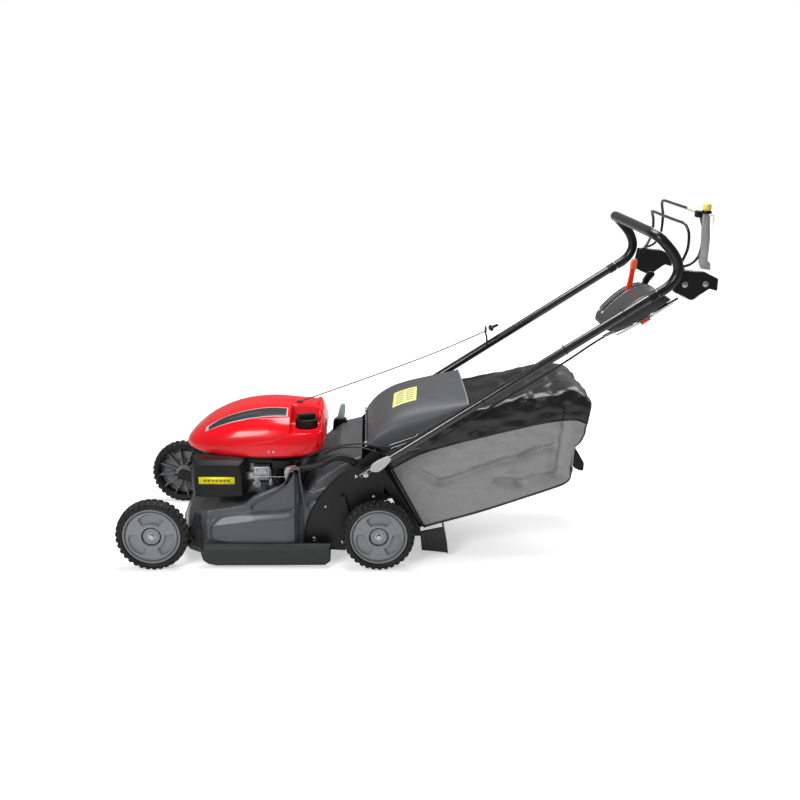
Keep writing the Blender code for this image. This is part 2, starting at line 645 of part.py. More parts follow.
def build_rear(chassis, hood_body, bag_body, flap_body):
    """The frame round the grass outlet, the hood over it, the bag behind it and the trailing flap."""
    rail = [(-0.106, 0.300), (-0.080, 0.300), (0.036, 0.098), (0.036, 0.078), (0.016, 0.078)]
    near, far = DECK_HALF_WIDTH - 0.050, DECK_HALF_WIDTH - 0.0345 - GAP
    rails = []
    for side, s in SIDES:
        low, high = span(s, near, far)
        rails.append(flat(f"rear_rail_{side}", [rail], low, high))
    hinge_x, hinge_z = FLAP_PIVOT
    bar = rod("rear_frame", 0.005, (hinge_x, -near - 0.005, hinge_z), (hinge_x, near + 0.005, hinge_z))
    hang(settled(join(bar, *rails)), "black_plastic", chassis)

    half = HOOD_HALF_WIDTH
    rows = [
        arch(-0.119, half - 0.006, 0.343, 0.356, 7),
        arch(-0.098, half - 0.002, 0.340, 0.388, 7),
        arch(-0.070, half, 0.338, 0.416, 6),
        arch(-0.035, half, 0.345, 0.440, 6),
        arch(0.010, half, 0.362, 0.457, 6),
        arch(0.060, half, 0.392, 0.467, 6),
        arch(0.110, half, 0.424, 0.474, 6),
        arch(0.164, half, 0.458, 0.480, 6),
    ]
    hang(thick(loft("hood", rows)), "hood_grey", hood_body)

    tilt = math.atan2(0.242, -0.139)
    forward = Vector((-math.sin(tilt), 0, math.cos(tilt))) * 0.008  # out of the mouth, across its plane
    sections = [  # bottom x and z, top x and z, and how much narrower than the widest
        (0.047, 0.096, -0.092, 0.338, 0.010),
        (0.120, 0.121, 0.000, 0.400, 0.004),
        (0.220, 0.156, 0.100, 0.436, 0.000),
        (0.330, 0.195, 0.240, 0.468, 0.000),
        (0.420, 0.227, 0.380, 0.496, 0.003),
        (0.474, 0.250, 0.468, 0.506, 0.010),
        (0.495, 0.290, 0.502, 0.478, 0.030),
    ]
    rows = []
    for low_x, low_z, high_x, high_z, less in sections:
        row = []
        for k in range(20):
            angle = math.pi - math.tau * k / 20
            across, up = (math.copysign(abs(f(angle)) ** 0.35, f(angle)) for f in (math.cos, math.sin))
            share = (1 + up) / 2
            x, z = low_x + (high_x - low_x) * share, low_z + (high_z - low_z) * share
            row.append((x, (BAG_HALF_WIDTH - less) * across, z))
        rows.append(row)
    rows.append([(0.503, 0, 0.384)] * 20)
    hang(thick(loft("bag_cloth", rows, ring=True)), "bag_cloth", bag_body)
    inset = 0.006
    low_x, low_z, high_x, high_z, less = sections[0]
    wide = BAG_HALF_WIDTH - less - inset - 0.02
    corners = []
    near_side = ((0.03, -1), (0.10, -1.1), (0.90, -1.1), (0.97, -1))
    for share, across in (*near_side, *((share, -across) for share, across in reversed(near_side))):
        x, z = low_x + (high_x - low_x) * share, low_z + (high_z - low_z) * share
        corners.append(Vector((x, wide * across, z)) + forward)
    hang(pipe("bag_frame", corners, 0.005, closed=True), "black_gloss", bag_body)
    grip = [(0.500, 0.290), (0.527, 0.248), (0.526, 0.222), (0.498, 0.232), (0.4905, 0.2520)]
    grip = [(x + 0.008, z) for x, z in grip]
    hang(rounded(flat("bag_handle", [grip], -0.060, 0.060), 0.004), "black_plastic", bag_body)

    wing = [(0.036, 0.088), (0.104, 0.104), (0.120, 0.014), (0.042, 0.022)]
    back = [(0.101, 0.103), (0.107, 0.1045), (0.1235, 0.014), (0.1175, 0.014)]
    reach = DECK_HALF_WIDTH - 0.056
    flap = flat("rear_flap", [back], -reach + 0.001, reach - 0.001)
    for side, s in SIDES:
        low, high = span(s, reach - 0.005, reach)
        join(flap, flat(f"wing_{side}", [wing], low, high))
    hang(settled(flap), "rubber", flap_body)


def tube_point(x, y):
    """The point over x on the straight line of a handle tube, at this y."""
    slope = (0.803 - HANDLE_PIVOT[1]) / (0.664 - HANDLE_PIVOT[0])
    return (x, y, HANDLE_PIVOT[1] + slope * (x - HANDLE_PIVOT[0]))


def build_handle(handle):
    """Both tubes, the grip loop, brackets, the lever panel, the rope guide and the cable on the tube."""
    wide = HANDLE_HALF_WIDTH
    lean = math.atan2(0.803 - HANDLE_PIVOT[1], 0.664 - HANDLE_PIVOT[0])
    joint_x = 0.664
    for side, s in SIDES:
        start, end = tube_point(HANDLE_PIVOT[0] - 0.015, s * wide), tube_point(joint_x, s * wide)
        hang(rod(f"handle_tube_{side}", TUBE_RADIUS, start, end, 12), "black_gloss", handle)
    start = tube_point(joint_x + GAP * math.cos(lean), wide)
    straight = tube_point(joint_x + 0.020, wide)
    bend = [(straight[0], straight[2]), (0.702, 0.836), (0.711, 0.862), (0.706, 0.888), (0.692, 0.912), (0.668, 0.938)]
    leg = [start, *((x, wide, z) for x, z in bend)]
    corner = [(0.655, wide - 0.006, 0.951), (0.645, wide - 0.020, 0.957), (0.641, wide - 0.040, 0.960)]
    right = [*leg, *corner]
    loop = [*right, *reversed(mirrored(right, -1))]
    hang(pipe("grip_loop", loop, GRIP_RADIUS), "black_gloss", handle)

    bracket = [(0.722, 0.861), (0.794, 0.856), (0.828, 0.840), (0.828, 0.806), (0.806, 0.812), (0.762, 0.779)]
    bracket += [(0.712, 0.801)]
    for side, s in SIDES:
        low, high = span(s, wide - 0.045, wide - GRIP_RADIUS - GAP)
        hang(rounded(flat(f"control_bracket_{side}", [bracket], low, high), 0.003), "black_plastic", handle)

    dome = [(0.538, 0.691), (0.546, 0.716), (0.562, 0.737), (0.609, 0.779), (0.651, 0.798), (0.688, 0.793)]
    dome += [(0.707, 0.781)]
    panel = flat("control_panel", [dome], -(wide - TUBE_RADIUS - GAP - 0.002), -0.040)
    for lever in (THROTTLE, SPEED):
        x, y, z = lever
        join_low = z - 0.008
        cut(panel, block("lever_slot", (x - 0.034, y - 0.007, join_low), (x + 0.040, y + 0.007, 0.9)))
    hang(settled(panel), "black_plastic", handle)

    cable_y = -(wide - 0.036)
    route = [(0.728, cable_y, 0.782), (0.683, cable_y, 0.756), (0.651, cable_y, 0.738), (0.590, cable_y, 0.700)]
    route += [(0.524, cable_y, 0.668), (0.416, cable_y, 0.592), (0.280, cable_y, 0.503), (0.160, cable_y, 0.424)]
    route += [(0.060, cable_y, 0.356)]
    hang(pipe("upper_cable", smooth_route(route, 3), CABLE_RADIUS), "rubber", handle)

    foot = tube_point(0.268, wide)
    top = TUBE_RADIUS / math.cos(lean) + GAP + 0.002
    post = [(foot[0], foot[1], foot[2] + top), (foot[0], wide, 0.574), (0.262, wide - 0.004, 0.582)]
    ring = 0.010
    for k in range(7):
        angle = math.radians(-90 + 45 * k)
        post.append((0.256, wide - 0.010 + ring * math.cos(angle), 0.592 + ring * math.sin(angle)))
    hang(pipe("rope_guide", post, 0.003), "steel", handle)


def build_hoops(blade_body, drive_body, button_body):
    """The two spring-back hoops across the handle, the cast lever on the outer one and its button."""
    wide = HANDLE_HALF_WIDTH - 0.050
    x, z = HOOP_PIVOT
    outer = [(x, wide, z + 0.016), (0.758, wide, 0.874), (0.777, wide, 0.893), (0.784, wide, 0.920)]
    outer += [(0.785, wide, 0.964), (0.779, wide - 0.004, 0.992), (0.776, wide - 0.014, 1.008)]
    outer += [(0.778, wide - 0.035, 1.012)]
    loop = [*outer, *reversed(mirrored(outer, -1))]
    hang(pipe("blade_hoop", loop, HOOP_RADIUS), "black_gloss", blade_body)
    lever = [(0.776, 0.878), (0.806, 0.868), (0.802, 0.945), (0.795, 1.004), (0.790, 1.012), (0.776, 1.012)]
    near = wide + HOOP_RADIUS + GAP
    hang(rounded(flat("cast_lever", [lever], -(near + 0.012), -near), 0.002), "steel", blade_body)
    button = rod("safety_button", 0.0115, (0.786, -(near + 0.006), 1.0195), (0.786, -(near + 0.006), 1.0395))
    hang(button, "yellow_plastic", button_body)
    narrow = wide - 0.016
    inner = [(x - 0.004, narrow, z + 0.016), (0.742, narrow, 0.885), (0.752, narrow, 0.915)]
    inner += [(0.752, narrow, 0.952), (0.746, narrow - 0.006, 0.972), (0.742, narrow - 0.022, 0.980)]
    loop = [*inner, *reversed(mirrored(inner, -1))]
    hang(pipe("drive_hoop", loop, HOOP_RADIUS), "black_gloss", drive_body)


def build_small_levers(throttle_body, speed_body, latch_bodies, grip_body, selector_body):
    """Throttle, speed and fold-latch levers, the blade selector and the starter's grip."""
    x, y, z = THROTTLE
    knob = [(x - 0.008, z - 0.006), (x + 0.008, z - 0.006), (x + 0.012, 0.800), (x + 0.020, 0.866)]
    knob += [(x + 0.006, 0.870), (x + 0.002, 0.822)]
    hang(flat("throttle_lever", [knob], y - 0.005, y + 0.005), "orange_plastic", throttle_body)
    x, y, z = SPEED
    knob = [(x - 0.007, z - 0.006), (x + 0.007, z - 0.006), (x + 0.022, 0.804), (x + 0.036, 0.824)]
    knob += [(x + 0.018, 0.830), (x + 0.008, 0.812)]
    hang(flat("speed_lever", [knob], y - 0.005, y + 0.005), "black_plastic", speed_body)
    latch = [(-0.112, 0.300), (-0.104, 0.318), (-0.062, 0.340), (-0.054, 0.328), (-0.088, 0.294)]
    near = HANDLE_HALF_WIDTH + TUBE_RADIUS + GAP
    for (side, s), body in zip(SIDES, latch_bodies):
        low, high = span(s, near, near + 0.009)
        hang(rounded(flat(f"fold_latch_{side}", [latch], low, high), 0.002), "steel", body)
    wide = HANDLE_HALF_WIDTH - 0.010
    grip = rod("starter_grip", 0.008, (0.272, wide - 0.030, 0.600), (0.272, wide + 0.018, 0.600), 12)
    stem = rod("grip_stem", 0.0055, (0.274, wide, 0.600), (0.296, wide, 0.610), 12)
    hang(settled(join(grip, stem)), "rubber", grip_body)
    x, y, z = SELECTOR
    lever = [(x - 0.012, z), (x + 0.012, z), (x + 0.016, z + 0.046), (x + 0.004, z + 0.050), (x - 0.006, z + 0.030)]
    hang(rounded(flat("blade_selector", [lever], y - 0.008, y + 0.008), 0.003), "green_plastic", selector_body)


def build_lines(chassis):
    """The starter's rope, the cable from the handle to the engine and the tube that the deck is lifted by."""
    hang(pipe("starter_rope", smooth_route(STARTER_ROPE, 4), 0.0016), "rope", chassis)
    hang(pipe("lower_cable", smooth_route(LOWER_CABLE, 4), CABLE_RADIUS), "rubber", chassis)
    hang(pipe("carry_tube", smooth_route(CARRY_TUBE, 2), 0.010), "black_gloss", chassis)


def main():
    datum = pivot("datum", (0, 0, 0))
    chassis = pivot("chassis", (0, 0, 0), datum)
    build_deck(chassis)
    build_sides(chassis)
    build_running_gear(datum)
    build_engine(chassis)
    build_fuel_cap(pivot("fuel_cap", FUEL_CAP, chassis))
    build_crank(pivot("crank", (CRANK_X, 0, BLADE_Z), chassis))
    shaft_body = pivot("drive_shaft", (DRIVE_SHAFT_X, 0, DRIVE_SHAFT_Z), chassis)
    pulley_body = pivot("drive_pulley", (DRIVE_SHAFT_X, DRIVE_PULLEY_Y, BELT_Z), chassis)
    build_drive(chassis, shaft_body, pulley_body)
    flap_x, flap_z = FLAP_PIVOT
    build_rear(
        chassis,
        pivot("hood", (-0.126, 0, 0.346), chassis),
        pivot("bag", (0.047, 0, 0.096), chassis),
        pivot("flap", (flap_x, 0, flap_z), chassis),
    )
    build_lines(chassis)
    pivot_x, pivot_z = HANDLE_PIVOT
    handle = pivot("handle", (pivot_x, 0, pivot_z), chassis)
    build_handle(handle)
    hoop_x, hoop_z = HOOP_PIVOT
    blade_body = pivot("blade_hoop", (hoop_x, 0, hoop_z), handle)
    drive_body = pivot("drive_hoop", (hoop_x, 0, hoop_z), handle)
    build_hoops(blade_body, drive_body, pivot("button", (0.786, -0.210, 1.030), blade_body))
    latches = [pivot(f"latch_{side}", (-0.100, s * HANDLE_HALF_WIDTH, 0.307), handle) for side, s in SIDES]
    build_small_levers(
        pivot("throttle", THROTTLE, handle),
        pivot("speed", SPEED, handle),
        latches,
        pivot("starter_grip", (0.272, 0.240, 0.600), handle),
        pivot("selector", SELECTOR, chassis),
    )
    bpy.data.objects["datum_pivot"].location.z = WHEEL_RADIUS - STANDARD_WHEEL_RADIUS


main()
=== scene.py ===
"""The looks of a self-propelled rotary lawn mower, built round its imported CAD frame.

-X is the front, +X the handle end, -Y the operator's left, +Z up, and the ground is z = 0, in metres.
Every piece is a surface worked out with numpy and rides on the CAD body that carries it.
"""

import logging
import math
from dataclasses import dataclass, field
from enum import Enum

import bpy
import numpy as np
from mathutils import Matrix, Vector


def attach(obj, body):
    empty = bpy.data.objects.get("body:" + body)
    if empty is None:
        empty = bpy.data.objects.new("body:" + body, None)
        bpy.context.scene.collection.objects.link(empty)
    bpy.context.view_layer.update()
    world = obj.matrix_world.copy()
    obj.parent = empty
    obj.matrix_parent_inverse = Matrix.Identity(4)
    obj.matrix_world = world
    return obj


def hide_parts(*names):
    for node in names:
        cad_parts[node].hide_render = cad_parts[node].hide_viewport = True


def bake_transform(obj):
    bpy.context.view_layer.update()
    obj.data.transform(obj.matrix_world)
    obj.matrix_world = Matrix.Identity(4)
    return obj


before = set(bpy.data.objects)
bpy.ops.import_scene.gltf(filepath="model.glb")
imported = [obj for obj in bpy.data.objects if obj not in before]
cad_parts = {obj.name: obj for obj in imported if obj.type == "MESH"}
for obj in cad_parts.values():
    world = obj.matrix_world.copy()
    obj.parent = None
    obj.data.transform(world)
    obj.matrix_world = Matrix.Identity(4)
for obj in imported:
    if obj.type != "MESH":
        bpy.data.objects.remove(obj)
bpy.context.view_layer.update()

log = logging.getLogger("lawn_mower")
Array = np.ndarray
Point = tuple[float, float, float]
Colour = tuple[float, float, float]
Value = float | tuple[float, ...] | bpy.types.NodeSocket


class Side(Enum):
    """Which side of the machine a piece is on, and the sign of its y."""

    LEFT = -1
    RIGHT = 1

    @property
    def word(self) -> str:
        """The side's name as CAD nodes spell it."""
        return self.name.lower()


def linear(colour: Colour) -> tuple[float, float, float, float]:
    """An sRGB colour as the linear one that a shader takes, with alpha 1."""
    levels = np.asarray(colour)
    made = np.where(levels <= 0.04045, levels / 12.92, ((levels + 0.055) / 1.055) ** 2.4)
    return (*map(float, made), 1.0)


def smoothstep(low: float, high: float, value: Array) -> Array:
    """0 below low and 1 above high, with the cubic 3t^2 - 2t^3 between."""
    t = np.clip((value - low) / (high - low), 0.0, 1.0)
    return t * t * (3 - 2 * t)


def catmull(points: Array, steps: int, closed: bool = False) -> Array:
    """Points on the Catmull-Rom curve through the first axis of an array, so many steps to a stretch.

    Each stretch is the cubic whose end slopes are half the difference of the neighbours of its ends.

    Args:
        points: Control points, shape (n, ..., 3).
        steps: Steps from one control point to the next.
        closed: True joins the last point to the first.

    Returns:
        The finer array, along the same axis.
    """
    p = np.asarray(points, float)
    if closed:
        ends = np.concatenate([p[-1:], p, p[:2]])
    else:
        ends = np.concatenate([2 * p[:1] - p[1:2], p, 2 * p[-1:] - p[-2:-1]])
    a, b, c, d = ends[:-3], ends[1:-2], ends[2:-1], ends[3:]
    t = (np.arange(steps) / steps).reshape(-1, *([1] * p.ndim))
    curve = 0.5 * (2 * b + (c - a) * t + (2 * a - 5 * b + 4 * c - d) * t**2 + (3 * b - a - 3 * c + d) * t**3)
    curve = np.moveaxis(curve, 0, 1).reshape(-1, *p.shape[1:])
    return curve if closed else np.concatenate([curve, p[-1:]])


def grid_faces(rows: int, columns: int, close_rows: bool, close_columns: bool) -> Array:
    """Quads of a grid of vertices, row by row, joined round where asked."""
    i = np.arange(rows if close_rows else rows - 1)
    j = np.arange(columns if close_columns else columns - 1)
    i, j = np.meshgrid(i, j, indexing="ij")
    k, m = (i + 1) % rows, (j + 1) % columns
    return np.stack([i * columns + j, k * columns + j, k * columns + m, i * columns + m], -1).reshape(-1, 4)


def new_mesh(name: str, verts: Array, faces: list[Array]) -> bpy.types.Object:
    """An object at the origin from vertices and lists of faces, each list of one size."""
    mesh = bpy.data.meshes.new(name)
    mesh.from_pydata(np.asarray(verts).reshape(-1, 3).tolist(), [],
        [f for part in faces for f in part.tolist()])
    mesh.update()
    made = bpy.data.objects.new(name, mesh)
    bpy.context.scene.collection.objects.link(made)
    return made


def surface(name: str, points: Array, close_rows: bool = False,
    close_columns: bool = False) -> bpy.types.Object:
    """An object from a grid of points, shape (rows, columns, 3), smooth where its angles are small."""
    rows, columns = points.shape[:2]
    made = new_mesh(name, points, [grid_faces(rows, columns, close_rows, close_columns)])
    return smooth(made)


def smooth(piece: bpy.types.Object, angle: float = 40.0) -> bpy.types.Object:
    """Shades a piece smooth, apart from edges sharper than the angle in degrees."""
    piece.data.shade_smooth()
    piece.data.set_sharp_from_angle(angle=math.radians(angle))
    return piece


def attribute(piece: bpy.types.Object, name: str, values: Array) -> None:
    """Stores one number per vertex, which a material reads by name."""
    layer = piece.data.attributes.new(name, "FLOAT", "POINT")
    layer.data.foreach_set("value", np.asarray(values, np.float32).ravel())


def uv_from_points(piece: bpy.types.Object, uv: Array) -> None:
    """Gives each corner the (u, v) of its vertex."""
    loops = np.empty(len(piece.data.loops), np.int32)
    piece.data.loops.foreach_get("vertex_index", loops)
    layer = piece.data.uv_layers.new(name="surface")
    layer.data.foreach_set("uv", np.asarray(uv, np.float32).reshape(-1, 2)[loops].ravel())


def outward(piece: bpy.types.Object) -> bpy.types.Object:
    """Turns a closed piece's faces to point out, by the sign of its volume."""
    mesh = piece.data
    mesh.calc_loop_triangles()
    points = np.empty(len(mesh.vertices) * 3)
    mesh.vertices.foreach_get("co", points)
    corners = np.empty(len(mesh.loop_triangles) * 3, np.int32)
    mesh.loop_triangles.foreach_get("vertices", corners)
    if np.linalg.det(points.reshape(-1, 3)[corners.reshape(-1, 3)]).sum() < 0:
        mesh.flip_normals()
    return piece


def frames(path: Array) -> tuple[Array, Array, Array]:
    """Direction and two cross directions at each point of a path, carried along it without twist."""
    along = np.gradient(path, axis=0)
    along /= np.linalg.norm(along, axis=1, keepdims=True)
    start = np.array([0.0, 1.0, 0.0]) if abs(along[0, 1]) < 0.9 else np.array([1.0, 0.0, 0.0])
    across = [start - along[0] * (start @ along[0])]
    for step in along[1:]:
        side = across[-1] - step * (across[-1] @ step)
        across.append(side / np.linalg.norm(side))
    across = np.array(across)
    across /= np.linalg.norm(across, axis=1, keepdims=True)
    return along, across, np.cross(along, across)


def tube(name: str, path: Array, radius: float | Array, sides: int = 20,
    flatten: float = 1.0) -> bpy.types.Object:
    """A round bar along a path: at each point a circle across it, closed by a small round cap at both ends.

    Args:
        name: The piece's name.
        path: Points of the middle line, shape (n, 3).
        radius: One radius, or one for each point.
        sides: Points round the bar.
        flatten: Size across the second cross direction, as a share of the first.

    Returns:
        The closed piece.
    """
    path = np.asarray(path, float)
    radius = np.broadcast_to(np.asarray(radius, float), len(path))
    _, first, second = frames(path)
    tip = 0.35  # how far the cap's small circle is drawn in
    path = np.concatenate([path[:1], path[:1], path, path[-1:], path[-1:]])
    spread = np.concatenate([[0, radius[0] * (1 - tip)], radius, [radius[-1] * (1 - tip), 0]])
    first = np.concatenate([first[:1]] * 2 + [first] + [first[-1:]] * 2)
    second = np.concatenate([second[:1]] * 2 + [second] + [second[-1:]] * 2)
    angle = np.linspace(0, math.tau, sides, endpoint=False)
    ring = np.cos(angle)[None, :, None] * first[:, None]
    ring = ring + np.sin(angle)[None, :, None] * second[:, None] * flatten
    made = surface(name, path[:, None] + ring * spread[:, None, None], close_columns=True)
    weld(made)
    return outward(smooth(made))


def weld(piece: bpy.types.Object, distance: float = 1e-6) -> None:
    """Merges points that lie together, as at a pole."""
    import bmesh

    bm = bmesh.new()
    bm.from_mesh(piece.data)
    bmesh.ops.remove_doubles(bm, verts=bm.verts, dist=distance)
    bmesh.ops.dissolve_degenerate(bm, edges=bm.edges, dist=1e-7)
    bmesh.ops.recalc_face_normals(bm, faces=bm.faces)
    bm.to_mesh(piece.data)
    bm.free()


def facing(piece: bpy.types.Object, way: Point) -> bpy.types.Object:
    """Turns an open piece's faces so that most of its area looks a given way."""
    faces = piece.data.polygons
    normal, area = np.empty(len(faces) * 3), np.empty(len(faces))
    faces.foreach_get("normal", normal)
    faces.foreach_get("area", area)
    if ((normal.reshape(-1, 3) @ np.array(way)) * area).sum() < 0:
        piece.data.flip_normals()
    return piece


def outward_up(piece: bpy.types.Object) -> bpy.types.Object:
    """Turns an open piece's faces so that most of its area looks up."""
    return facing(piece, (0.0, 0.0, 1.0))


def corded(piece: bpy.types.Object, path: Array) -> bpy.types.Object:
    """Gives a cord its map: u is metres along its path, and v the turn round it, from 0 to 1."""
    points = np.empty(len(piece.data.vertices) * 3)
    piece.data.vertices.foreach_get("co", points)
    points = points.reshape(-1, 3)
    along, first, second = frames(path)
    nearest = np.linalg.norm(points[:, None] - path[None], axis=-1).argmin(1)
    run = np.concatenate([[0], np.cumsum(np.linalg.norm(np.diff(path, axis=0), axis=1))])
    away = points - path[nearest]
    turn = np.arctan2((away * second[nearest]).sum(1), (away * first[nearest]).sum(1)) / math.tau
    uv_from_points(piece, np.stack([run[nearest] + (away * along[nearest]).sum(1), turn], -1))
    return piece


AXES = {"x": (1, 2, 0), "y": (2, 0, 1),
    "z": (0, 1, 2)}  # where a turned shape's two cross axes and its own go


def turned(name: str, outline: list, centre: Point, axis: str = "z", sides: int = 48) -> bpy.types.Object:
    """A shape turned round an axis: each outline point (radius, height) becomes a circle round centre.

    Args:
        name: The piece's name.
        outline: (radius, height) points, from one end of the axis to the other.
        centre: Where height 0 of the axis lies.
        axis: "x", "y" or "z".
        sides: Points round it.

    Returns:
        The piece, closed where its outline starts and ends on the axis.
    """
    line = np.asarray(outline, float)
    angle = np.linspace(0, math.tau, sides, endpoint=False)
    points = np.empty((len(line), sides, 3))
    first, second, own = AXES[axis]
    points[..., first] = line[:, :1] * np.cos(angle)
    points[..., second] = line[:, :1] * np.sin(angle)
    points[..., own] = line[:, 1:]
    made = surface(name, points + np.asarray(centre), close_columns=True)
    weld(made)
    return outward(smooth(made))


def prism(name: str, outline: list, low: float, high: float, bevel: float = 0.0, axis: str = "y",
    rounds: int = 3) -> bpy.types.Object:
    """A plate of a flat outline, from low to high along an axis, with its edges rounded.

    Args:
        name: The piece's name.
        outline: Points in the two other axes, (x, z) for "y", (x, y) for "z" and (y, z) for "x".
        low: Where it starts along the axis.
        high: Where it ends.
        bevel: Width of the rounded edges.
        axis: The axis that it is extruded along.
        rounds: Segments of each rounded edge.

    Returns:
        The closed piece.
    """
    flat = np.asarray(outline, float)
    count = len(flat)
    places = {"x": (1, 2, 0), "y": (0, 2, 1), "z": (0, 1, 2)}[axis]
    points = np.empty((2, count, 3))
    points[..., places[0]], points[..., places[1]] = flat[:, 0], flat[:, 1]
    points[0, :, places[2]], points[1, :, places[2]] = low, high
    caps = np.stack([np.arange(count)[::-1], np.arange(count) + count])
    made = new_mesh(name, points, [grid_faces(2, count, False, True), caps])
    weld(made)
    outward(made)
    if bevel:
        add_bevel(made, bevel, rounds)
    return smooth(made, 50)


def add_bevel(piece: bpy.types.Object, width: float, rounds: int = 3) -> None:
    """Rounds the edges that are sharper than 30 degrees."""
    rounding = piece.modifiers.new("Rounded edges", "BEVEL")
    rounding.width, rounding.segments = width, rounds
    rounding.limit_method = "ANGLE"
    rounding.angle_limit = math.radians(30)
    rounding.harden_normals = True


def block(name: str, low: Point, high: Point, bevel: float = 0.001, rounds: int = 3) -> bpy.types.Object:
    """A box between two corners, with its edges rounded."""
    outline = [(low[0], low[2]), (high[0], low[2]), (high[0], high[2]), (low[0], high[2])]
    return prism(name, outline, low[1], high[1], bevel, rounds=rounds)


def walled(piece: bpy.types.Object, wall: float, even: bool = False) -> bpy.types.Object:
    """Gives an open sheet its wall, on its inner side."""
    shell = piece.modifiers.new("Wall", "SOLIDIFY")
    shell.thickness, shell.offset, shell.use_even_offset = wall, -1, even
    return piece


def merged(name: str, parts: list[bpy.types.Object]) -> bpy.types.Object:
    """Several finished shapes as one piece, each with its modifiers applied."""
    graph = bpy.context.evaluated_depsgraph_get()
    verts, faces, start = [], [], 0
    for part in parts:
        graph.update()
        mesh = part.evaluated_get(graph).to_mesh()
        points = np.empty(len(mesh.vertices) * 3)
        mesh.vertices.foreach_get("co", points)
        verts.append(points.reshape(-1, 3))
        faces += [tuple(v + start for v in polygon.vertices) for polygon in mesh.polygons]
        start += len(mesh.vertices)
        bpy.data.objects.remove(part, do_unlink=True)
    mesh = bpy.data.meshes.new(name)
    mesh.from_pydata(np.concatenate(verts).tolist(), [], faces)
    made = bpy.data.objects.new(name, mesh)
    bpy.context.scene.collection.objects.link(made)
    return smooth(made)


def spring(name: str, start: Point, end: Point, radius: float, turns: int, wire: float) -> bpy.types.Object:
    """A coil spring: a helix of so many turns round the line from start to end, with close-wound wire."""
    start, end = np.asarray(start, float), np.asarray(end, float)
    line = np.linspace(start, end, turns * 12 + 1)
    _, first, second = frames(line)
    angle = (np.arange(len(line)) * math.tau / 12)[:, None]
    return tube(name, line + radius * (np.cos(angle) * first + np.sin(angle) * second), wire, 6)


# ----- Finishes -----


def node(tree: bpy.types.NodeTree, kind: str, **values) -> bpy.types.Node:
    """Adds a shader node; a value named after an attribute sets it, and any other sets the input it names.

    Args:
        tree: The tree that it goes into.
        kind: The node's type, without its ShaderNode prefix.
        values: Attributes, or inputs with _ for a space. A socket as a value is linked.

    Returns:
        The node.
    """
    made = tree.nodes.new("ShaderNode" + kind)
    for name, value in values.items():
        if hasattr(made, name):
            setattr(made, name, value)
        else:
            put(tree, made.inputs[name.replace("_", " ")], value)
    return made


def put(tree: bpy.types.NodeTree, socket: bpy.types.NodeSocket, value: Value) -> None:
    """Links a socket to the value if that is a socket, or else sets it."""
    if isinstance(value, bpy.types.NodeSocket):
        tree.links.new(value, socket)
    else:
        socket.default_value = value


def maths(tree: bpy.types.NodeTree, operation: str, *values: Value) -> bpy.types.NodeSocket:
    """The result of one Math node on values or sockets."""
    made = tree.nodes.new("ShaderNodeMath")
    made.operation = operation
    for socket, value in zip(made.inputs, values):
        put(tree, socket, value)
    return made.outputs[0]


def mixed(tree: bpy.types.NodeTree, share: Value, first: Value, second: Value) -> bpy.types.NodeSocket:
    """A colour between first at share 0 and second at share 1."""
    made = tree.nodes.new("ShaderNodeMix")
    made.data_type = "RGBA"
    for index, value in ((0, share), (6, first), (7, second)):
        put(tree, made.inputs[index], value)
    return made.outputs[2]


def ranged(tree: bpy.types.NodeTree, value: Value, low: float, high: float, to_low: float,
    to_high: float) -> bpy.types.NodeSocket:
    """The value moved from low..high to to_low..to_high, and kept between them."""
    made = tree.nodes.new("ShaderNodeMapRange")
    for socket, given in zip(made.inputs, (value, low, high, to_low, to_high)):
        put(tree, socket, given)
    return made.outputs[0]


def new_group(name: str, inputs: dict[str, tuple[str, object]], outputs: dict[str, str]) -> tuple:
    """An empty shader node group with named sockets.

    Args:
        name: The group's name.
        inputs: For each input, its socket kind ("Float", "Color" or "Vector") and default value.
        outputs: For each output, its socket kind.

    Returns:
        The group, its input node's outputs and its output node's inputs.
    """
    group = bpy.data.node_groups.new(name, "ShaderNodeTree")
    for label, (kind, default) in inputs.items():
        socket = group.interface.new_socket(label, in_out="INPUT", socket_type="NodeSocket" + kind)
        if default is not None:
            socket.default_value = default
    for label, kind in outputs.items():
        group.interface.new_socket(label, in_out="OUTPUT", socket_type="NodeSocket" + kind)
    source = group.nodes.new("NodeGroupInput")
    sink = group.nodes.new("NodeGroupOutput")
    return group, source.outputs, sink.inputs


def use_group(
    tree: bpy.types.NodeTree, group: bpy.types.NodeTree, **values: Value
) -> dict[str, bpy.types.NodeSocket]:
    """Places a group in a material with its own values, and gives its outputs by name."""
    made = tree.nodes.new("ShaderNodeGroup")
    made.node_tree = group
    for name, value in values.items():
        put(tree, made.inputs[name.replace("_", " ")], value)
    return made.outputs


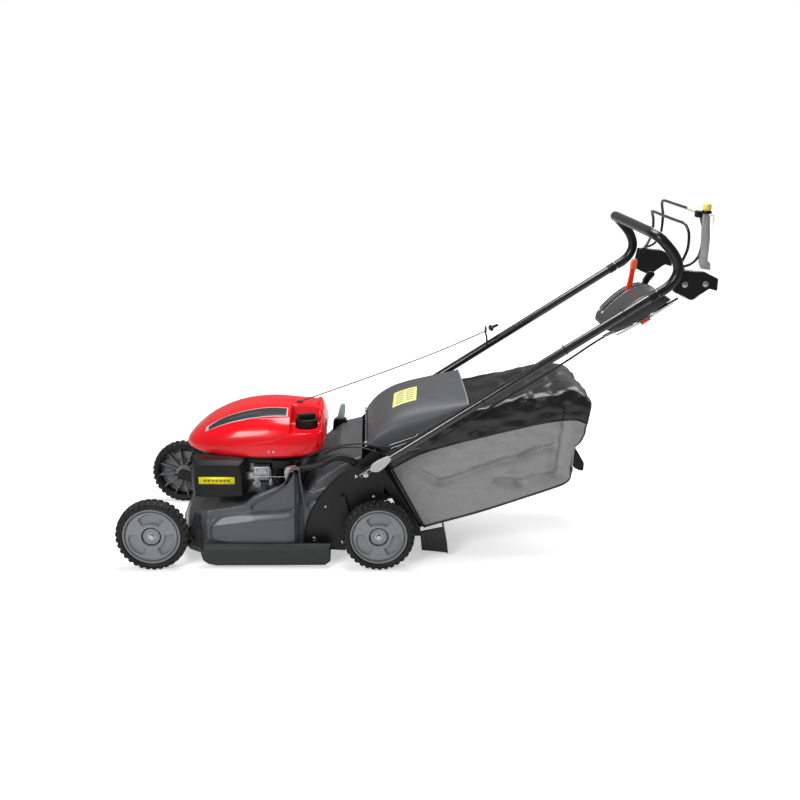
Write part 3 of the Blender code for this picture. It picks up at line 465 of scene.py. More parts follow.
class Effects:
    """The shader node groups that the finishes share, each built once."""

    def __init__(self) -> None:
        """Builds every group."""
        self.grain = self.make_grain()
        self.mottle = self.make_mottle()
        # Edge mask that lightens edges: partly rubbed edges, partly painted highlight.
        self.edges = self.make_edges()
        self.dust = self.make_dust()

    @staticmethod
    def make_grain() -> bpy.types.NodeTree:
        """Moulded or cast grain: noise and small cells, as a height from 0 to 1."""
        group, given, out = new_group(
            "Grain", {"Scale": ("Float", 900.0), "Cells": ("Float", 0.5)}, {"Height": "Float"}
        )
        where = node(group, "TexCoord").outputs["Object"]
        noise = node(group, "TexNoise", Vector=where, Scale=given["Scale"], Detail=3.0, Roughness=0.6)
        cells = node(group, "TexVoronoi", feature="SMOOTH_F1", Vector=where, Scale=given["Scale"],
            Smoothness=0.6)
        blended = node(group, "Mix", Factor=given["Cells"], A=noise.outputs[0], B=cells.outputs["Distance"])
        put(group, out["Height"], blended.outputs[0])
        return group

    @staticmethod
    def make_mottle() -> bpy.types.NodeTree:
        """Soft change of tone over a surface, from -1 to 1, from two sizes of noise."""
        group, given, out = new_group("Mottle", {"Scale": ("Float", 14.0)}, {"Value": "Float"})
        where = node(group, "TexCoord").outputs["Object"]
        large = node(group, "TexNoise", Vector=where, Scale=given["Scale"], Detail=4.0).outputs[0]
        finer = maths(group, "MULTIPLY", given["Scale"], 7.0)
        small = node(group, "TexNoise", Vector=where, Scale=finer, Detail=2.0)
        both = maths(group, "ADD", maths(group, "MULTIPLY", large, 1.4),
            maths(group, "MULTIPLY", small.outputs[0], 0.6))
        put(group, out["Value"], maths(group, "MULTIPLY", maths(group, "SUBTRACT", both, 1.0), 2.0))
        return group

    @staticmethod
    def make_edges() -> bpy.types.NodeTree:
        """Edge rubbing and painted highlight: a mask that lightens where a rounded normal parts from the
        surface's own, broken up by noise.
        """
        group, given, out = new_group(
            "Edge wear", {"Width": ("Float", 0.002), "Amount": ("Float", 0.5)}, {"Mask": "Float"}
        )
        rounded = node(group, "Bevel", samples=4, Radius=given["Width"]).outputs[0]
        plain = node(group, "NewGeometry").outputs["Normal"]
        alike = node(group, "VectorMath", operation="DOT_PRODUCT")
        put(group, alike.inputs[0], rounded)
        put(group, alike.inputs[1], plain)
        bent = maths(group, "SUBTRACT", 1.0, alike.outputs["Value"])
        where = node(group, "TexCoord").outputs["Object"]
        noise = node(group, "TexNoise", Vector=where, Scale=160.0, Detail=3.0).outputs[0]
        rub_and_highlight_mask = ranged(group, maths(group, "MULTIPLY", bent, ranged(group, noise, 0.35, 0.65, 0.3, 1.6)),
            0.02, 0.16, 0.0, 1.0)
        put(group, out["Mask"], maths(group, "MULTIPLY", rub_and_highlight_mask, given["Amount"]))
        return group

    @staticmethod
    def make_dust() -> bpy.types.NodeTree:
        """Thin dust: more on faces that look up, in noisy patches, from 0 to 1."""
        group, given, out = new_group("Dust", {"Amount": ("Float", 0.2)}, {"Mask": "Float"})
        normal = node(group, "NewGeometry").outputs["Normal"]
        up = node(group, "SeparateXYZ")
        put(group, up.inputs[0], normal)
        where = node(group, "TexCoord").outputs["Object"]
        noise = node(group, "TexNoise", Vector=where, Scale=30.0, Detail=6.0).outputs[0]
        lies = maths(group, "MULTIPLY", ranged(group, up.outputs[2], 0.0, 1.0, 0.25, 1.0),
            ranged(group, noise, 0.35, 0.75, 0.0, 1.0))
        put(group, out["Mask"], maths(group, "MULTIPLY", lies, given["Amount"]))
        return group


@dataclass(frozen=True)
class Finish:
    """A paint, metal, plastic or rubber.

    Attributes:
        name: The material's name.
        colour: Its sRGB colour.
        rough: Its roughness.
        metal: 1 for bare metal.
        grain: Height of its grain, in metres.
        grain_scale: How fine the grain is.
        mottle: How much its tone changes.
        wear: How much its edges are lightened, partly as rubbed edges and partly as painted
        highlight, and wear_colour the colour they take.
        dust: How much dust lies on it.
        coat: Weight of a clear coat.
        ior: Index of refraction, which sets how much a plastic shines.
    """

    name: str
    colour: Colour
    rough: float = 0.5
    metal: float = 0.0
    grain: float = 0.0
    grain_scale: float = 900.0
    cells: float = 0.5
    mottle: float = 0.06
    mottle_scale: float = 14.0
    wear: float = 0.25
    wear_colour: Colour = (0.5, 0.5, 0.5)
    dust: float = 0.04
    coat: float = 0.0
    ior: float = 1.5

    def build(self, effects: Effects) -> bpy.types.Material:
        """The material, with its grain as bump, and its tone, lightened edges (rubbing and painted
        highlight) and dust in colour and roughness.

        Args:
            effects: The shared node groups.

        Returns:
            The material.
        """
        made = bpy.data.materials.new(self.name)
        made.use_nodes = True
        tree = made.node_tree
        shader = tree.nodes["Principled BSDF"]
        tone = use_group(tree, effects.mottle, Scale=self.mottle_scale)["Value"]
        colour = linear(self.colour)
        dark = tuple(c * (1 - 1.6 * self.mottle) for c in colour[:3]) + (1.0,)
        light = tuple(min(1.0, c * (1 + 1.6 * self.mottle)) for c in colour[:3]) + (1.0,)
        base = mixed(tree, ranged(tree, tone, -1.0, 1.0, 0.0, 1.0), dark, light)
        # Edges lightened towards the edge colour: partly rubbed edges, partly painted highlight.
        rub_and_highlight_mask = use_group(tree, effects.edges, Width=0.0016, Amount=self.wear)["Mask"]
        base = mixed(tree, rub_and_highlight_mask, base, linear(self.wear_colour))
        dust = use_group(tree, effects.dust, Amount=self.dust)["Mask"]
        put(tree, shader.inputs["Base Color"], mixed(tree, dust, base, linear((0.56, 0.54, 0.50))))
        rough = maths(tree, "ADD", self.rough, maths(tree, "MULTIPLY", tone, self.mottle * 0.9))
        put(tree, shader.inputs["Roughness"], ranged(tree, maths(tree, "ADD", rough,
            maths(tree, "MULTIPLY", dust, 0.3)), 0.0, 1.0, 0.03, 1.0))
        shader.inputs["Metallic"].default_value = self.metal
        shader.inputs["IOR"].default_value = self.ior
        shader.inputs["Coat Weight"].default_value = self.coat
        shader.inputs["Coat Roughness"].default_value = 0.06
        if self.grain:
            height = use_group(tree, effects.grain, Scale=self.grain_scale, Cells=self.cells)["Height"]
            bump = node(tree, "Bump", Strength=1.0, Distance=self.grain, Height=height)
            put(tree, shader.inputs["Normal"], bump.outputs[0])
        return made


# Each finish's edge amount and edge colour lighten its edges: partly rubbed edges, partly painted highlight.
FINISHES = {
    "deck_grey": Finish("deck paint", (0.285, 0.290, 0.300), 0.36, grain=0.00010, grain_scale=700,
        mottle=0.05, wear=0.22, coat=0.15),
    "hood_grey": Finish("hood moulding", (0.275, 0.279, 0.288), 0.44, grain=0.00016, grain_scale=1500,
        cells=0.8, mottle=0.03, wear=0.10, dust=0.05),
    "cover_red": Finish("cover gloss red", (0.90, 0.0, 0.085), 0.22, ior=1.40, mottle=0.02, wear=0.05,
        dust=0.0, coat=0.35, wear_colour=(0.95, 0.35, 0.38)),
    "black_plastic": Finish("black moulding", (0.062, 0.065, 0.067), 0.40, ior=1.34, grain=0.00008,
        grain_scale=1300, wear=0.12, wear_colour=(0.3, 0.3, 0.3)),
    "black_paint": Finish("black powder coat", (0.068, 0.070, 0.073), 0.38, ior=1.36, grain=0.00006,
        grain_scale=1100, wear=0.22, wear_colour=(0.42, 0.42, 0.43)),
    "grip_foam": Finish("grip sleeve", (0.055, 0.057, 0.060), 0.27, ior=1.38, grain=0.00005,
        grain_scale=1800, wear=0.05, coat=0.25),
    "soft_rubber": Finish("flap rubber", (0.058, 0.060, 0.063), 0.30, ior=1.38, grain=0.00010,
        grain_scale=600, wear=0.15, coat=0.2),
    "rim_grey": Finish("rim moulding", (0.490, 0.495, 0.502), 0.42, grain=0.00006, grain_scale=1200,
        mottle=0.03, wear=0.18, wear_colour=(0.68, 0.68, 0.68)),
    "cast_alloy": Finish("cast alloy", (0.66, 0.665, 0.67), 0.40, metal=0.85, grain=0.00012, grain_scale=800,
        mottle=0.05, wear_colour=(0.85, 0.85, 0.85)),
    "steel": Finish("zinc plate", (0.72, 0.72, 0.73), 0.27, metal=1.0, mottle=0.06,
        wear_colour=(0.86, 0.86, 0.86)),
    "orange_plastic": Finish("orange moulding", (0.92, 0.23, 0.10), 0.30, mottle=0.03, wear=0.15,
        wear_colour=(0.98, 0.6, 0.5), coat=0.3),
    "yellow_plastic": Finish("yellow moulding", (0.90, 0.86, 0.42), 0.34, mottle=0.03, wear=0.15,
        wear_colour=(0.98, 0.97, 0.8)),
    "green_plastic": Finish("green moulding", (0.66, 0.76, 0.71), 0.32, mottle=0.03, wear=0.15,
        wear_colour=(0.85, 0.9, 0.88)),
}


@dataclass(frozen=True)
class TyreRubber:
    """Black rubber with a moulded grain, greyer where the tread meets the ground."""

    colour: Colour = (0.066, 0.068, 0.070)
    scuff: Colour = (0.185, 0.183, 0.178)

    def build(self, effects: Effects) -> bpy.types.Material:
        """The material, scuffed by the piece's "tread" attribute: 0 on the wall and 1 on the lugs."""
        made = bpy.data.materials.new("tyre rubber")
        made.use_nodes = True
        tree = made.node_tree
        shader = tree.nodes["Principled BSDF"]
        tone = use_group(tree, effects.mottle, Scale=30.0)["Value"]
        tread = node(tree, "Attribute", attribute_name="tread").outputs["Fac"]
        scuffed = maths(tree, "MULTIPLY", tread, ranged(tree, tone, -0.8, 0.9, 0.15, 0.75))
        base = mixed(tree, scuffed, linear(self.colour), linear(self.scuff))
        dust = use_group(tree, effects.dust, Amount=0.08)["Mask"]
        put(tree, shader.inputs["Base Color"], mixed(tree, dust, base, linear((0.5, 0.48, 0.44))))
        put(tree, shader.inputs["Roughness"], ranged(tree, scuffed, 0.0, 1.0, 0.46, 0.75))
        shader.inputs["IOR"].default_value = 1.36
        height = use_group(tree, effects.grain, Scale=900.0, Cells=0.3)["Height"]
        put(tree, shader.inputs["Normal"], node(tree, "Bump", Strength=1.0, Distance=0.00012,
            Height=height).outputs[0])
        return made


@dataclass(frozen=True)
class Cloth:
    """Woven cloth: threads along u and v of the piece's own map, which is in metres.

    Attributes:
        name: The material's name.
        thread: Colour of the threads, and gap the colour between them.
        pitch: Spacing of the threads along u and v, in metres.
        relief: Height of a thread.
        rough: Roughness.
        sheen: Weight of the sheen.
        ribs: How strongly every few rows of thread stand out as a line.
    """

    name: str
    thread: Colour
    gap: Colour
    pitch: tuple[float, float] = (0.0011, 0.0011)
    relief: float = 0.00025
    rough: float = 0.5
    sheen: float = 0.2
    ribs: float = 0.0

    def build(self, effects: Effects) -> bpy.types.Material:
        """The material. A thread's height is the sine of its place across it, and the higher of the two
        crossing threads shows.
        """
        made = bpy.data.materials.new(self.name)
        made.use_nodes = True
        tree = made.node_tree
        shader = tree.nodes["Principled BSDF"]
        where = node(tree, "UVMap", uv_map="surface").outputs[0]
        parts = node(tree, "SeparateXYZ")
        put(tree, parts.inputs[0], where)
        waves = []
        for axis, pitch in zip((0, 1), self.pitch):
            turn = maths(tree, "MULTIPLY", parts.outputs[axis], math.pi / pitch)
            waves.append(maths(tree, "ABSOLUTE", maths(tree, "SINE", turn)))
        high = maths(tree, "MAXIMUM", waves[0], waves[1])
        both = maths(tree, "MULTIPLY", maths(tree, "ADD", waves[0], waves[1]), 0.5)
        line = maths(tree, "SINE", maths(tree, "MULTIPLY", parts.outputs[1], math.pi / (self.pitch[1] * 3)))
        line = maths(tree, "MULTIPLY", maths(tree, "ABSOLUTE", line), self.ribs)
        tone = use_group(tree, effects.mottle, Scale=18.0)["Value"]
        share = ranged(tree, both, 0.25, 0.8, 0.0, 1.0)
        base = mixed(tree, share, linear(self.gap), linear(self.thread))
        darker = tuple(c * 0.78 for c in linear(self.thread)[:3]) + (1.0,)
        base = mixed(tree, ranged(tree, tone, -1.0, 1.0, 0.5, 0.0), base, darker)
        light = tuple(min(1.0, c * 1.5) for c in linear(self.thread)[:3]) + (1.0,)
        base = mixed(tree, line, base, light)
        put(tree, shader.inputs["Base Color"], base)
        put(tree, shader.inputs["Roughness"], ranged(tree, tone, -1.0, 1.0, self.rough - 0.06,
            self.rough + 0.06))
        shader.inputs["Sheen Weight"].default_value = self.sheen
        shader.inputs["Sheen Roughness"].default_value = 0.4
        bump = node(tree, "Bump", Strength=0.8, Distance=self.relief, Height=maths(tree, "ADD", high, line))
        put(tree, shader.inputs["Normal"], bump.outputs[0])
        return made


@dataclass(frozen=True)
class Braid:
    """Braided cord: two sets of strands that wind opposite ways, along u, round v of the cord's own map."""

    name: str = "braided cord"
    colour: Colour = (0.10, 0.10, 0.105)
    fleck: Colour = (0.20, 0.20, 0.21)

    def build(self, effects: Effects) -> bpy.types.Material:
        """The material. Each strand is a sine of u plus or minus v, and the higher shows."""
        made = bpy.data.materials.new(self.name)
        made.use_nodes = True
        tree = made.node_tree
        shader = tree.nodes["Principled BSDF"]
        parts = node(tree, "SeparateXYZ")
        put(tree, parts.inputs[0], node(tree, "UVMap", uv_map="surface").outputs[0])
        along = maths(tree, "MULTIPLY", parts.outputs[0], math.tau / 0.0045)
        round_it = maths(tree, "MULTIPLY", parts.outputs[1], math.tau * 4)
        strands = [maths(tree, "SINE", maths(tree, sign, along, round_it)) for sign in ("ADD", "SUBTRACT")]
        high = maths(tree, "MAXIMUM", *strands)
        tone = use_group(tree, effects.mottle, Scale=60.0)["Value"]
        share = maths(tree, "MULTIPLY", ranged(tree, high, 0.0, 1.0, 0.0, 0.8),
            ranged(tree, tone, -1.0, 1.0, 0.4, 1.0))
        put(tree, shader.inputs["Base Color"], mixed(tree, share, linear(self.colour), linear(self.fleck)))
        shader.inputs["Roughness"].default_value = 0.62
        put(tree, shader.inputs["Normal"], node(tree, "Bump", Strength=0.8, Distance=0.0003,
            Height=high).outputs[0])
        return made


@dataclass(frozen=True)
class Label:
    """A printed film: plain bars that say nothing, laid out by the piece's own map, from 0 to 1.

    Attributes:
        name: The material's name.
        ground: Colour of the film.
        ink: Colour of its bars.
        rows: How many rows of bars it has.
        margin: Plain share at its edges.
        rough: Roughness.
    """

    name: str
    ground: Colour
    ink: Colour
    rows: float = 4.0
    columns: float = 3.0
    margin: float = 0.08
    rough: float = 0.35

    def build(self, effects: Effects) -> bpy.types.Material:
        """The material. A bar shows in the middle of each row of v, inside each column of u."""
        made = bpy.data.materials.new(self.name)
        made.use_nodes = True
        tree = made.node_tree
        shader = tree.nodes["Principled BSDF"]
        parts = node(tree, "SeparateXYZ")
        put(tree, parts.inputs[0], node(tree, "UVMap", uv_map="surface").outputs[0])
        mask = None
        for axis, count, filled in ((0, self.columns, 0.80), (1, self.rows, 0.42)):
            inner = ranged(tree, parts.outputs[axis], self.margin, 1 - self.margin, 0.0, count * 0.9999)
            part = maths(tree, "FRACT", inner)
            off_bar = maths(tree, "ABSOLUTE", maths(tree, "SUBTRACT", part, 0.5))
            bar = maths(tree, "LESS_THAN", off_bar, filled / 2)
            off_middle = maths(tree, "ABSOLUTE", maths(tree, "SUBTRACT", parts.outputs[axis], 0.5))
            inside = maths(tree, "LESS_THAN", off_middle, 0.5 - self.margin)
            both = maths(tree, "MULTIPLY", bar, inside)
            mask = both if mask is None else maths(tree, "MULTIPLY", mask, both)
        tone = use_group(tree, effects.mottle, Scale=40.0)["Value"]
        strength = maths(tree, "MULTIPLY", mask, 0.85)
        put(tree, shader.inputs["Base Color"], mixed(tree, strength, linear(self.ground), linear(self.ink)))
        rough = ranged(tree, tone, -1.0, 1.0, self.rough - 0.05, self.rough + 0.05)
        put(tree, shader.inputs["Roughness"], rough)
        return made


class Workshop:
    """Holds every material and puts each piece where it belongs."""

    def __init__(self) -> None:
        """Builds the shared effects, and a material for each slot and each special film or cloth."""
        self.effects = Effects()
        self.materials = {slot: finish.build(self.effects) for slot, finish in FINISHES.items()}
        special = {
            "tyre_rubber": TyreRubber(),
            "bag_cloth": Cloth("black bag cloth", (0.085, 0.087, 0.092), (0.040, 0.041, 0.043),
                relief=0.0001, rough=0.27, sheen=0.05),
            "tube_gloss": Finish("tube gloss", (0.060, 0.061, 0.064), 0.20, grain=0.00003, wear=0.1,
                coat=0.5),
            "latch_silver": Finish("pale alloy", (0.70, 0.70, 0.71), 0.32, metal=0.55, grain=0.00008,
                mottle=0.03),
            "panel_grey": Finish("panel moulding", (0.215, 0.218, 0.222), 0.34, grain=0.00008,
                grain_scale=1200, wear=0.1),
            "orange_pale": Finish("pale orange moulding", (0.95, 0.42, 0.28), 0.32, mottle=0.03, coat=0.3),
            "cream_plain": Finish("cream film", (0.86, 0.84, 0.76), 0.40, mottle=0.03, wear=0.05),
            "skirt_grey": Finish("skirt moulding", (0.150, 0.154, 0.160), 0.44, ior=1.40, grain=0.00010,
                grain_scale=900, wear=0.2),
            "bag_mesh": Cloth("grey bag mesh", (0.60, 0.60, 0.605), (0.20, 0.20, 0.205), (0.0016, 0.0018),
                0.0004, 0.26, 0.15, 0.25),
            "binding": Cloth("edge binding", (0.085, 0.086, 0.09), (0.04, 0.04, 0.042), (0.0009, 0.0022),
                0.0003, 0.5, 0.2),
            "starter_cord": Braid(),
            "hood_label": Label("yellow label", (0.90, 0.89, 0.58), (0.42, 0.42, 0.38), 6.0, 2.0),
            "box_label": Label("long yellow label", (0.90, 0.85, 0.12), (0.30, 0.28, 0.10), 1.0, 7.0, 0.12),
            "cover_band": Label("grey cover band", (0.20, 0.20, 0.215), (0.30, 0.30, 0.32), 1.0, 1.0, 0.30,
                0.25),
            "silver_film": Label("silver film", (0.72, 0.72, 0.73), (0.60, 0.60, 0.61), 1.0, 1.0, 0.3, 0.25),
        }
        self.materials |= {slot: finish.build(self.effects) for slot, finish in special.items()}

    def paint(self, piece: bpy.types.Object, look: str) -> bpy.types.Object:
        """Puts one material on a piece."""
        piece.data.materials.clear()
        piece.data.materials.append(self.materials[look])
        return piece

    def fit(self, piece: bpy.types.Object, slot: str, body: str, *nodes: str,
        look: str = "") -> bpy.types.Object:
        """Finishes a piece: paints it, names its slot, and rides it on its body.

        Args:
            piece: The finished shape.
            slot: The record's slot.
            body: The CAD body that carries it.
            nodes: CAD nodes that it stands for.
            look: The material, where it isn't the slot's own.

        Returns:
            The piece.
        """
        self.paint(piece, look or slot)
        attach(piece, body)
        if nodes:
            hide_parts(*nodes)
        log.info("%s: %d points, slot %s, on %s", piece.name, len(piece.data.vertices), slot, body)
        return piece

    def dress_frame(self) -> None:
        """Gives every CAD node the full material of its slot."""
        for name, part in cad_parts.items():
            slot = part.data.materials[0].name.split(".")[0]
            part.data.materials[0] = self.materials[slot]
            log.info("%s keeps its own shape, in %s", name, slot)


# ----- Wheels -----


@dataclass
class Wheel:
    """One road wheel: a moulded rim with three crescent recesses, and a tyre with chunky lugs.

    Attributes:
        end: "front" or "rear".
        side: Which side it is on.
        radius: Over the lugs.
        rim_radius: Where the rubber starts.
        half_width: Half of the tyre's width.
        lugs: How many lugs go round it.
        lug_depth: How deep the grooves between them are.
    """

    end: str
    side: Side
    radius: float = 0.1025
    rim_radius: float = 0.0817
    half_width: float = 0.0215
    lugs: int = 34
    lug_depth: float = 0.0042
    height: float = 0.1025
    place: dict[str, float] = field(default_factory=lambda: {"front": -0.7255, "rear": -0.0855})
    track: float = 0.2642

    @property
    def label(self) -> str:
        """The wheel's name as CAD nodes spell it."""
        return f"{self.end}_{self.side.word}"

    def put(self, radial: Array, across: Array, angle: Array) -> Array:
        """Points from radius, place across the wheel (positive outwards) and angle round it.

        The far wheels are the mirror image of the near ones: y is the side's sign times track plus across.
        """
        x = self.place[self.end] + radial * np.cos(angle)
        z = self.height + radial * np.sin(angle)
        y = self.side.value * (self.track + across)
        return np.stack(np.broadcast_arrays(x, y, z), -1)

    def tyre(self) -> bpy.types.Object:
        """The tyre: a closed section carried round the axle, its crown cut by slanted grooves.

        The section runs from the bead inside, up the wall, over the crown and down to the bead outside. At
        place s across the crown and angle a, the groove is cut where the sine of lugs * (a + a zigzag of s)
        is low, so lugs lean to both sides of the middle and end as scallops on the shoulders.
        """
        w, low, top = self.half_width, self.rim_radius, self.radius
        wall = [(low, -w * 0.74), (low + 0.0025, -w * 0.92), (low + 0.0065, -w), (low + 0.0115, -w * 1.01),
            (top - 0.0060, -w * 0.99),
                (top - 0.0032, -w * 0.93), (top - 0.0014, -w * 0.80)]
        crown = [(top - 0.0005, -w * 0.62), (top, -w * 0.42), (top, -w * 0.22), (top, 0.0)]
        half = wall + crown
        inside = [(low, w * 0.74), (low - 0.0006, w * 0.40), (low - 0.0006, -w * 0.40)]
        section = np.array(half + [(r, -y) for r, y in half[-2::-1]] + inside)
        section = np.concatenate([catmull(section[:-3], 2), section[-2:]])
        around = self.lugs * 10
        angle = np.linspace(0, math.tau, around, endpoint=False)[:, None]
        radial, across = section[None, :, 0], section[None, :, 1]
        share = np.clip(across / w, -1, 1)
        zigzag = 0.055 * np.abs(share) + 0.030 * np.sign(share) * (1 - share**2)
        wave = np.sin(self.lugs * (angle + zigzag + 0.05 * (share > 0)))
        cut = smoothstep(-0.05, -0.50, wave)
        on_crown = smoothstep(top - 0.0125, top - 0.0068, radial * np.ones_like(wave))
        rib = 1 - 0.75 * smoothstep(0.16, 0.05, np.abs(share))
        depth = self.lug_depth * cut * on_crown * rib
        shoulder = smoothstep(0.85, 0.99, np.abs(share)) * on_crown
        radial = radial - depth
        across = across - np.sign(across) * 0.0022 * cut * shoulder
        made = surface(f"{self.label}_tyre_tread", self.put(radial, across, angle), True, True)
        tread = smoothstep(top - 0.004, top - 0.001, radial) * np.ones_like(wave)
        attribute(made, "tread", tread)
        return outward(smooth(made, 32))

    def rim(self) -> bpy.types.Object:
        """The rim's outer face and wall, as a surface of angle and radius.

        Going in from the bead: a bright lip, a step, a plateau, then a hub well. On the plateau three
        crescent recesses lie between radius 0.036 and 0.066, each a quarter turn long, where the sine of
        three times the angle is above a half, and three shallow dimples lie between them.
        """
        outer = 0.0190
        line = np.array([
            (0.0817, -0.0170), (0.0817, 0.0165), (0.0808, 0.0186), (0.0793, 0.0192), (0.0778, 0.0186),
            (0.0768, 0.0168), (0.0762, 0.0120),
            (0.0752, 0.0102), (0.0738, 0.0100), (0.0728, 0.0112), (0.0720, 0.0140), (0.0708, 0.0158),
            (0.0690, 0.0164), (0.0660, 0.0168),
            (0.0620, 0.0172), (0.0580, 0.0175), (0.0530, 0.0178), (0.0480, 0.0182), (0.0430, 0.0186),
            (0.0390, outer), (0.0350, 0.0194),
            (0.0315, 0.0196), (0.0290, 0.0192), (0.0280, 0.0178), (0.0276, 0.0110), (0.0272, 0.0070),
            (0.0262, 0.0062), (0.0210, 0.0062),
            (0.0150, 0.0064), (0.0128, 0.0068), (0.0120, 0.0080), (0.0116, 0.0120), (0.0108, 0.0134),
            (0.0080, 0.0138), (0.0, 0.0138),
        ])
        fine = catmull(line[2:-2], 3)
        line = np.concatenate([line[:2], fine, line[-2:]])
        angle = np.linspace(0, math.tau, 180, endpoint=False)[:, None]
        radial, across = line[None, :, 0], line[None, :, 1]
        lobe = 0.5 + 0.5 * np.cos(3 * (angle - math.radians(90)))
        inner_edge = 0.0395 - 0.0030 * lobe
        outer_edge = 0.0680 - 0.0115 * (1 - lobe) ** 1.4
        inside = smoothstep(inner_edge, inner_edge + 0.0022, radial) * (1 - smoothstep(outer_edge - 0.0022,
            outer_edge, radial))
        window = smoothstep(0.30, 0.44, lobe)
        recess = 0.0088 * inside * window
        dimple = 0.0016 * np.exp(-(((radial - 0.0565) / 0.0045) ** 2)) * np.exp(
            -((np.angle(np.exp(1j * 3 * (angle - math.radians(30)))) / 0.35) ** 2))
        spokes = np.abs(np.sin(3 * angle)) < 0.0
        across = across - recess - dimple * (1 - window) - 0.0 * spokes
        radial = radial * np.ones_like(across)
        made = surface(f"{self.label}_rim_face", self.put(radial, across, angle), True, False)
        weld(made)
        return smooth(made, 40)

    def ribs(self) -> list[bpy.types.Object]:
        """Twelve thin ribs from the hub to the rim's wall, and the hub sleeve, seen from the far side."""
        parts = []
        for index in range(12):
            turn = math.tau * index / 12 + 0.13
            corners = [(0.022, -0.0145), (0.0815, -0.0145), (0.0815, 0.006), (0.022, 0.010)]
            points = np.array(corners)
            thick = np.array([-0.0009, 0.0009])[:, None]
            angle = turn + thick / np.maximum(points[None, :, 0], 0.02)
            grid = self.put(points[None, :, 0], points[None, :, 1], angle)
            caps = np.array([[3, 2, 1, 0], [4, 5, 6, 7]])
            rib = new_mesh("rib", grid, [grid_faces(2, 4, False, True), caps])
            weld(rib)
            parts.append(outward(rib))
        sleeve = np.array([(0.0235, -0.0150), (0.0235, 0.0150), (0.0105, 0.0150), (0.0105, -0.0150)])
        angle = np.linspace(0, math.tau, 40, endpoint=False)[:, None]
        grid = self.put(sleeve[None, :, 0], sleeve[None, :, 1], angle)
        parts.append(outward(surface("sleeve", grid, True, True)))
        return parts

    def hub(self) -> bpy.types.Object:
        """Six short spokes in the hub's well."""
        parts = []
        for index in range(6):
            turn = math.tau * index / 6 + 0.26
            points = np.array([(0.0105, 0.0060), (0.0278, 0.0060), (0.0278, 0.0150), (0.0105, 0.0128)])
            thick = np.array([-0.0013, 0.0013])[:, None]
            angle = turn + thick / np.maximum(points[None, :, 0], 0.014)
            grid = self.put(points[None, :, 0], points[None, :, 1], angle)
            spoke = new_mesh("spoke", grid, [grid_faces(2, 4, False, True),
                np.array([[3, 2, 1, 0], [4, 5, 6, 7]])])
            weld(spoke)
            parts.append(outward(spoke))
        return merged(f"{self.label}_hub_spokes", parts)

    def bolt(self) -> bpy.types.Object:
        """The axle bolt: a washer and a six-sided head."""
        y = self.side.value * self.track
        sign = self.side.value
        washer = turned("washer", [(0.0, 0.012 * sign), (0.0105, 0.012 * sign), (0.0108, 0.0128 * sign),
            (0.0105, 0.0150 * sign), (0.0, 0.0150 * sign)],
                        (self.place[self.end], y, self.height), "y", 40)
        hexagon = [(0.0072 * math.cos(math.tau * k / 6),
            0.0072 * math.sin(math.tau * k / 6)) for k in range(6)]
        outline = [(self.place[self.end] + a, self.height + b) for a, b in hexagon]
        ends = sorted((y + 0.0148 * sign, y + 0.0196 * sign))
        head = prism("head", outline, ends[0], ends[1], 0.0008)
        return merged(f"{self.label}_axle_bolt", [washer, head])

    def build(self, shop: Workshop) -> None:
        """Builds the wheel and rides it on its own body."""
        body = f"{self.label}_wheel"
        shop.fit(self.tyre(), "tyre_rubber", body, f"{self.label}_tyre")
        rim = merged(f"{self.label}_rim_moulding", [self.rim(), *self.ribs()])
        shop.fit(rim, "rim_grey", body, f"{self.label}_rim")
        shop.fit(self.hub(), "black_plastic", body)
        shop.fit(self.bolt(), "steel", body)


class Wheels:
    """All four wheels."""

    def build(self, shop: Workshop) -> None:
        """Builds each wheel in turn."""
        for end in ("front", "rear"):
            for side in Side:
                Wheel(end, side).build(shop)


# ----- Grass bag -----


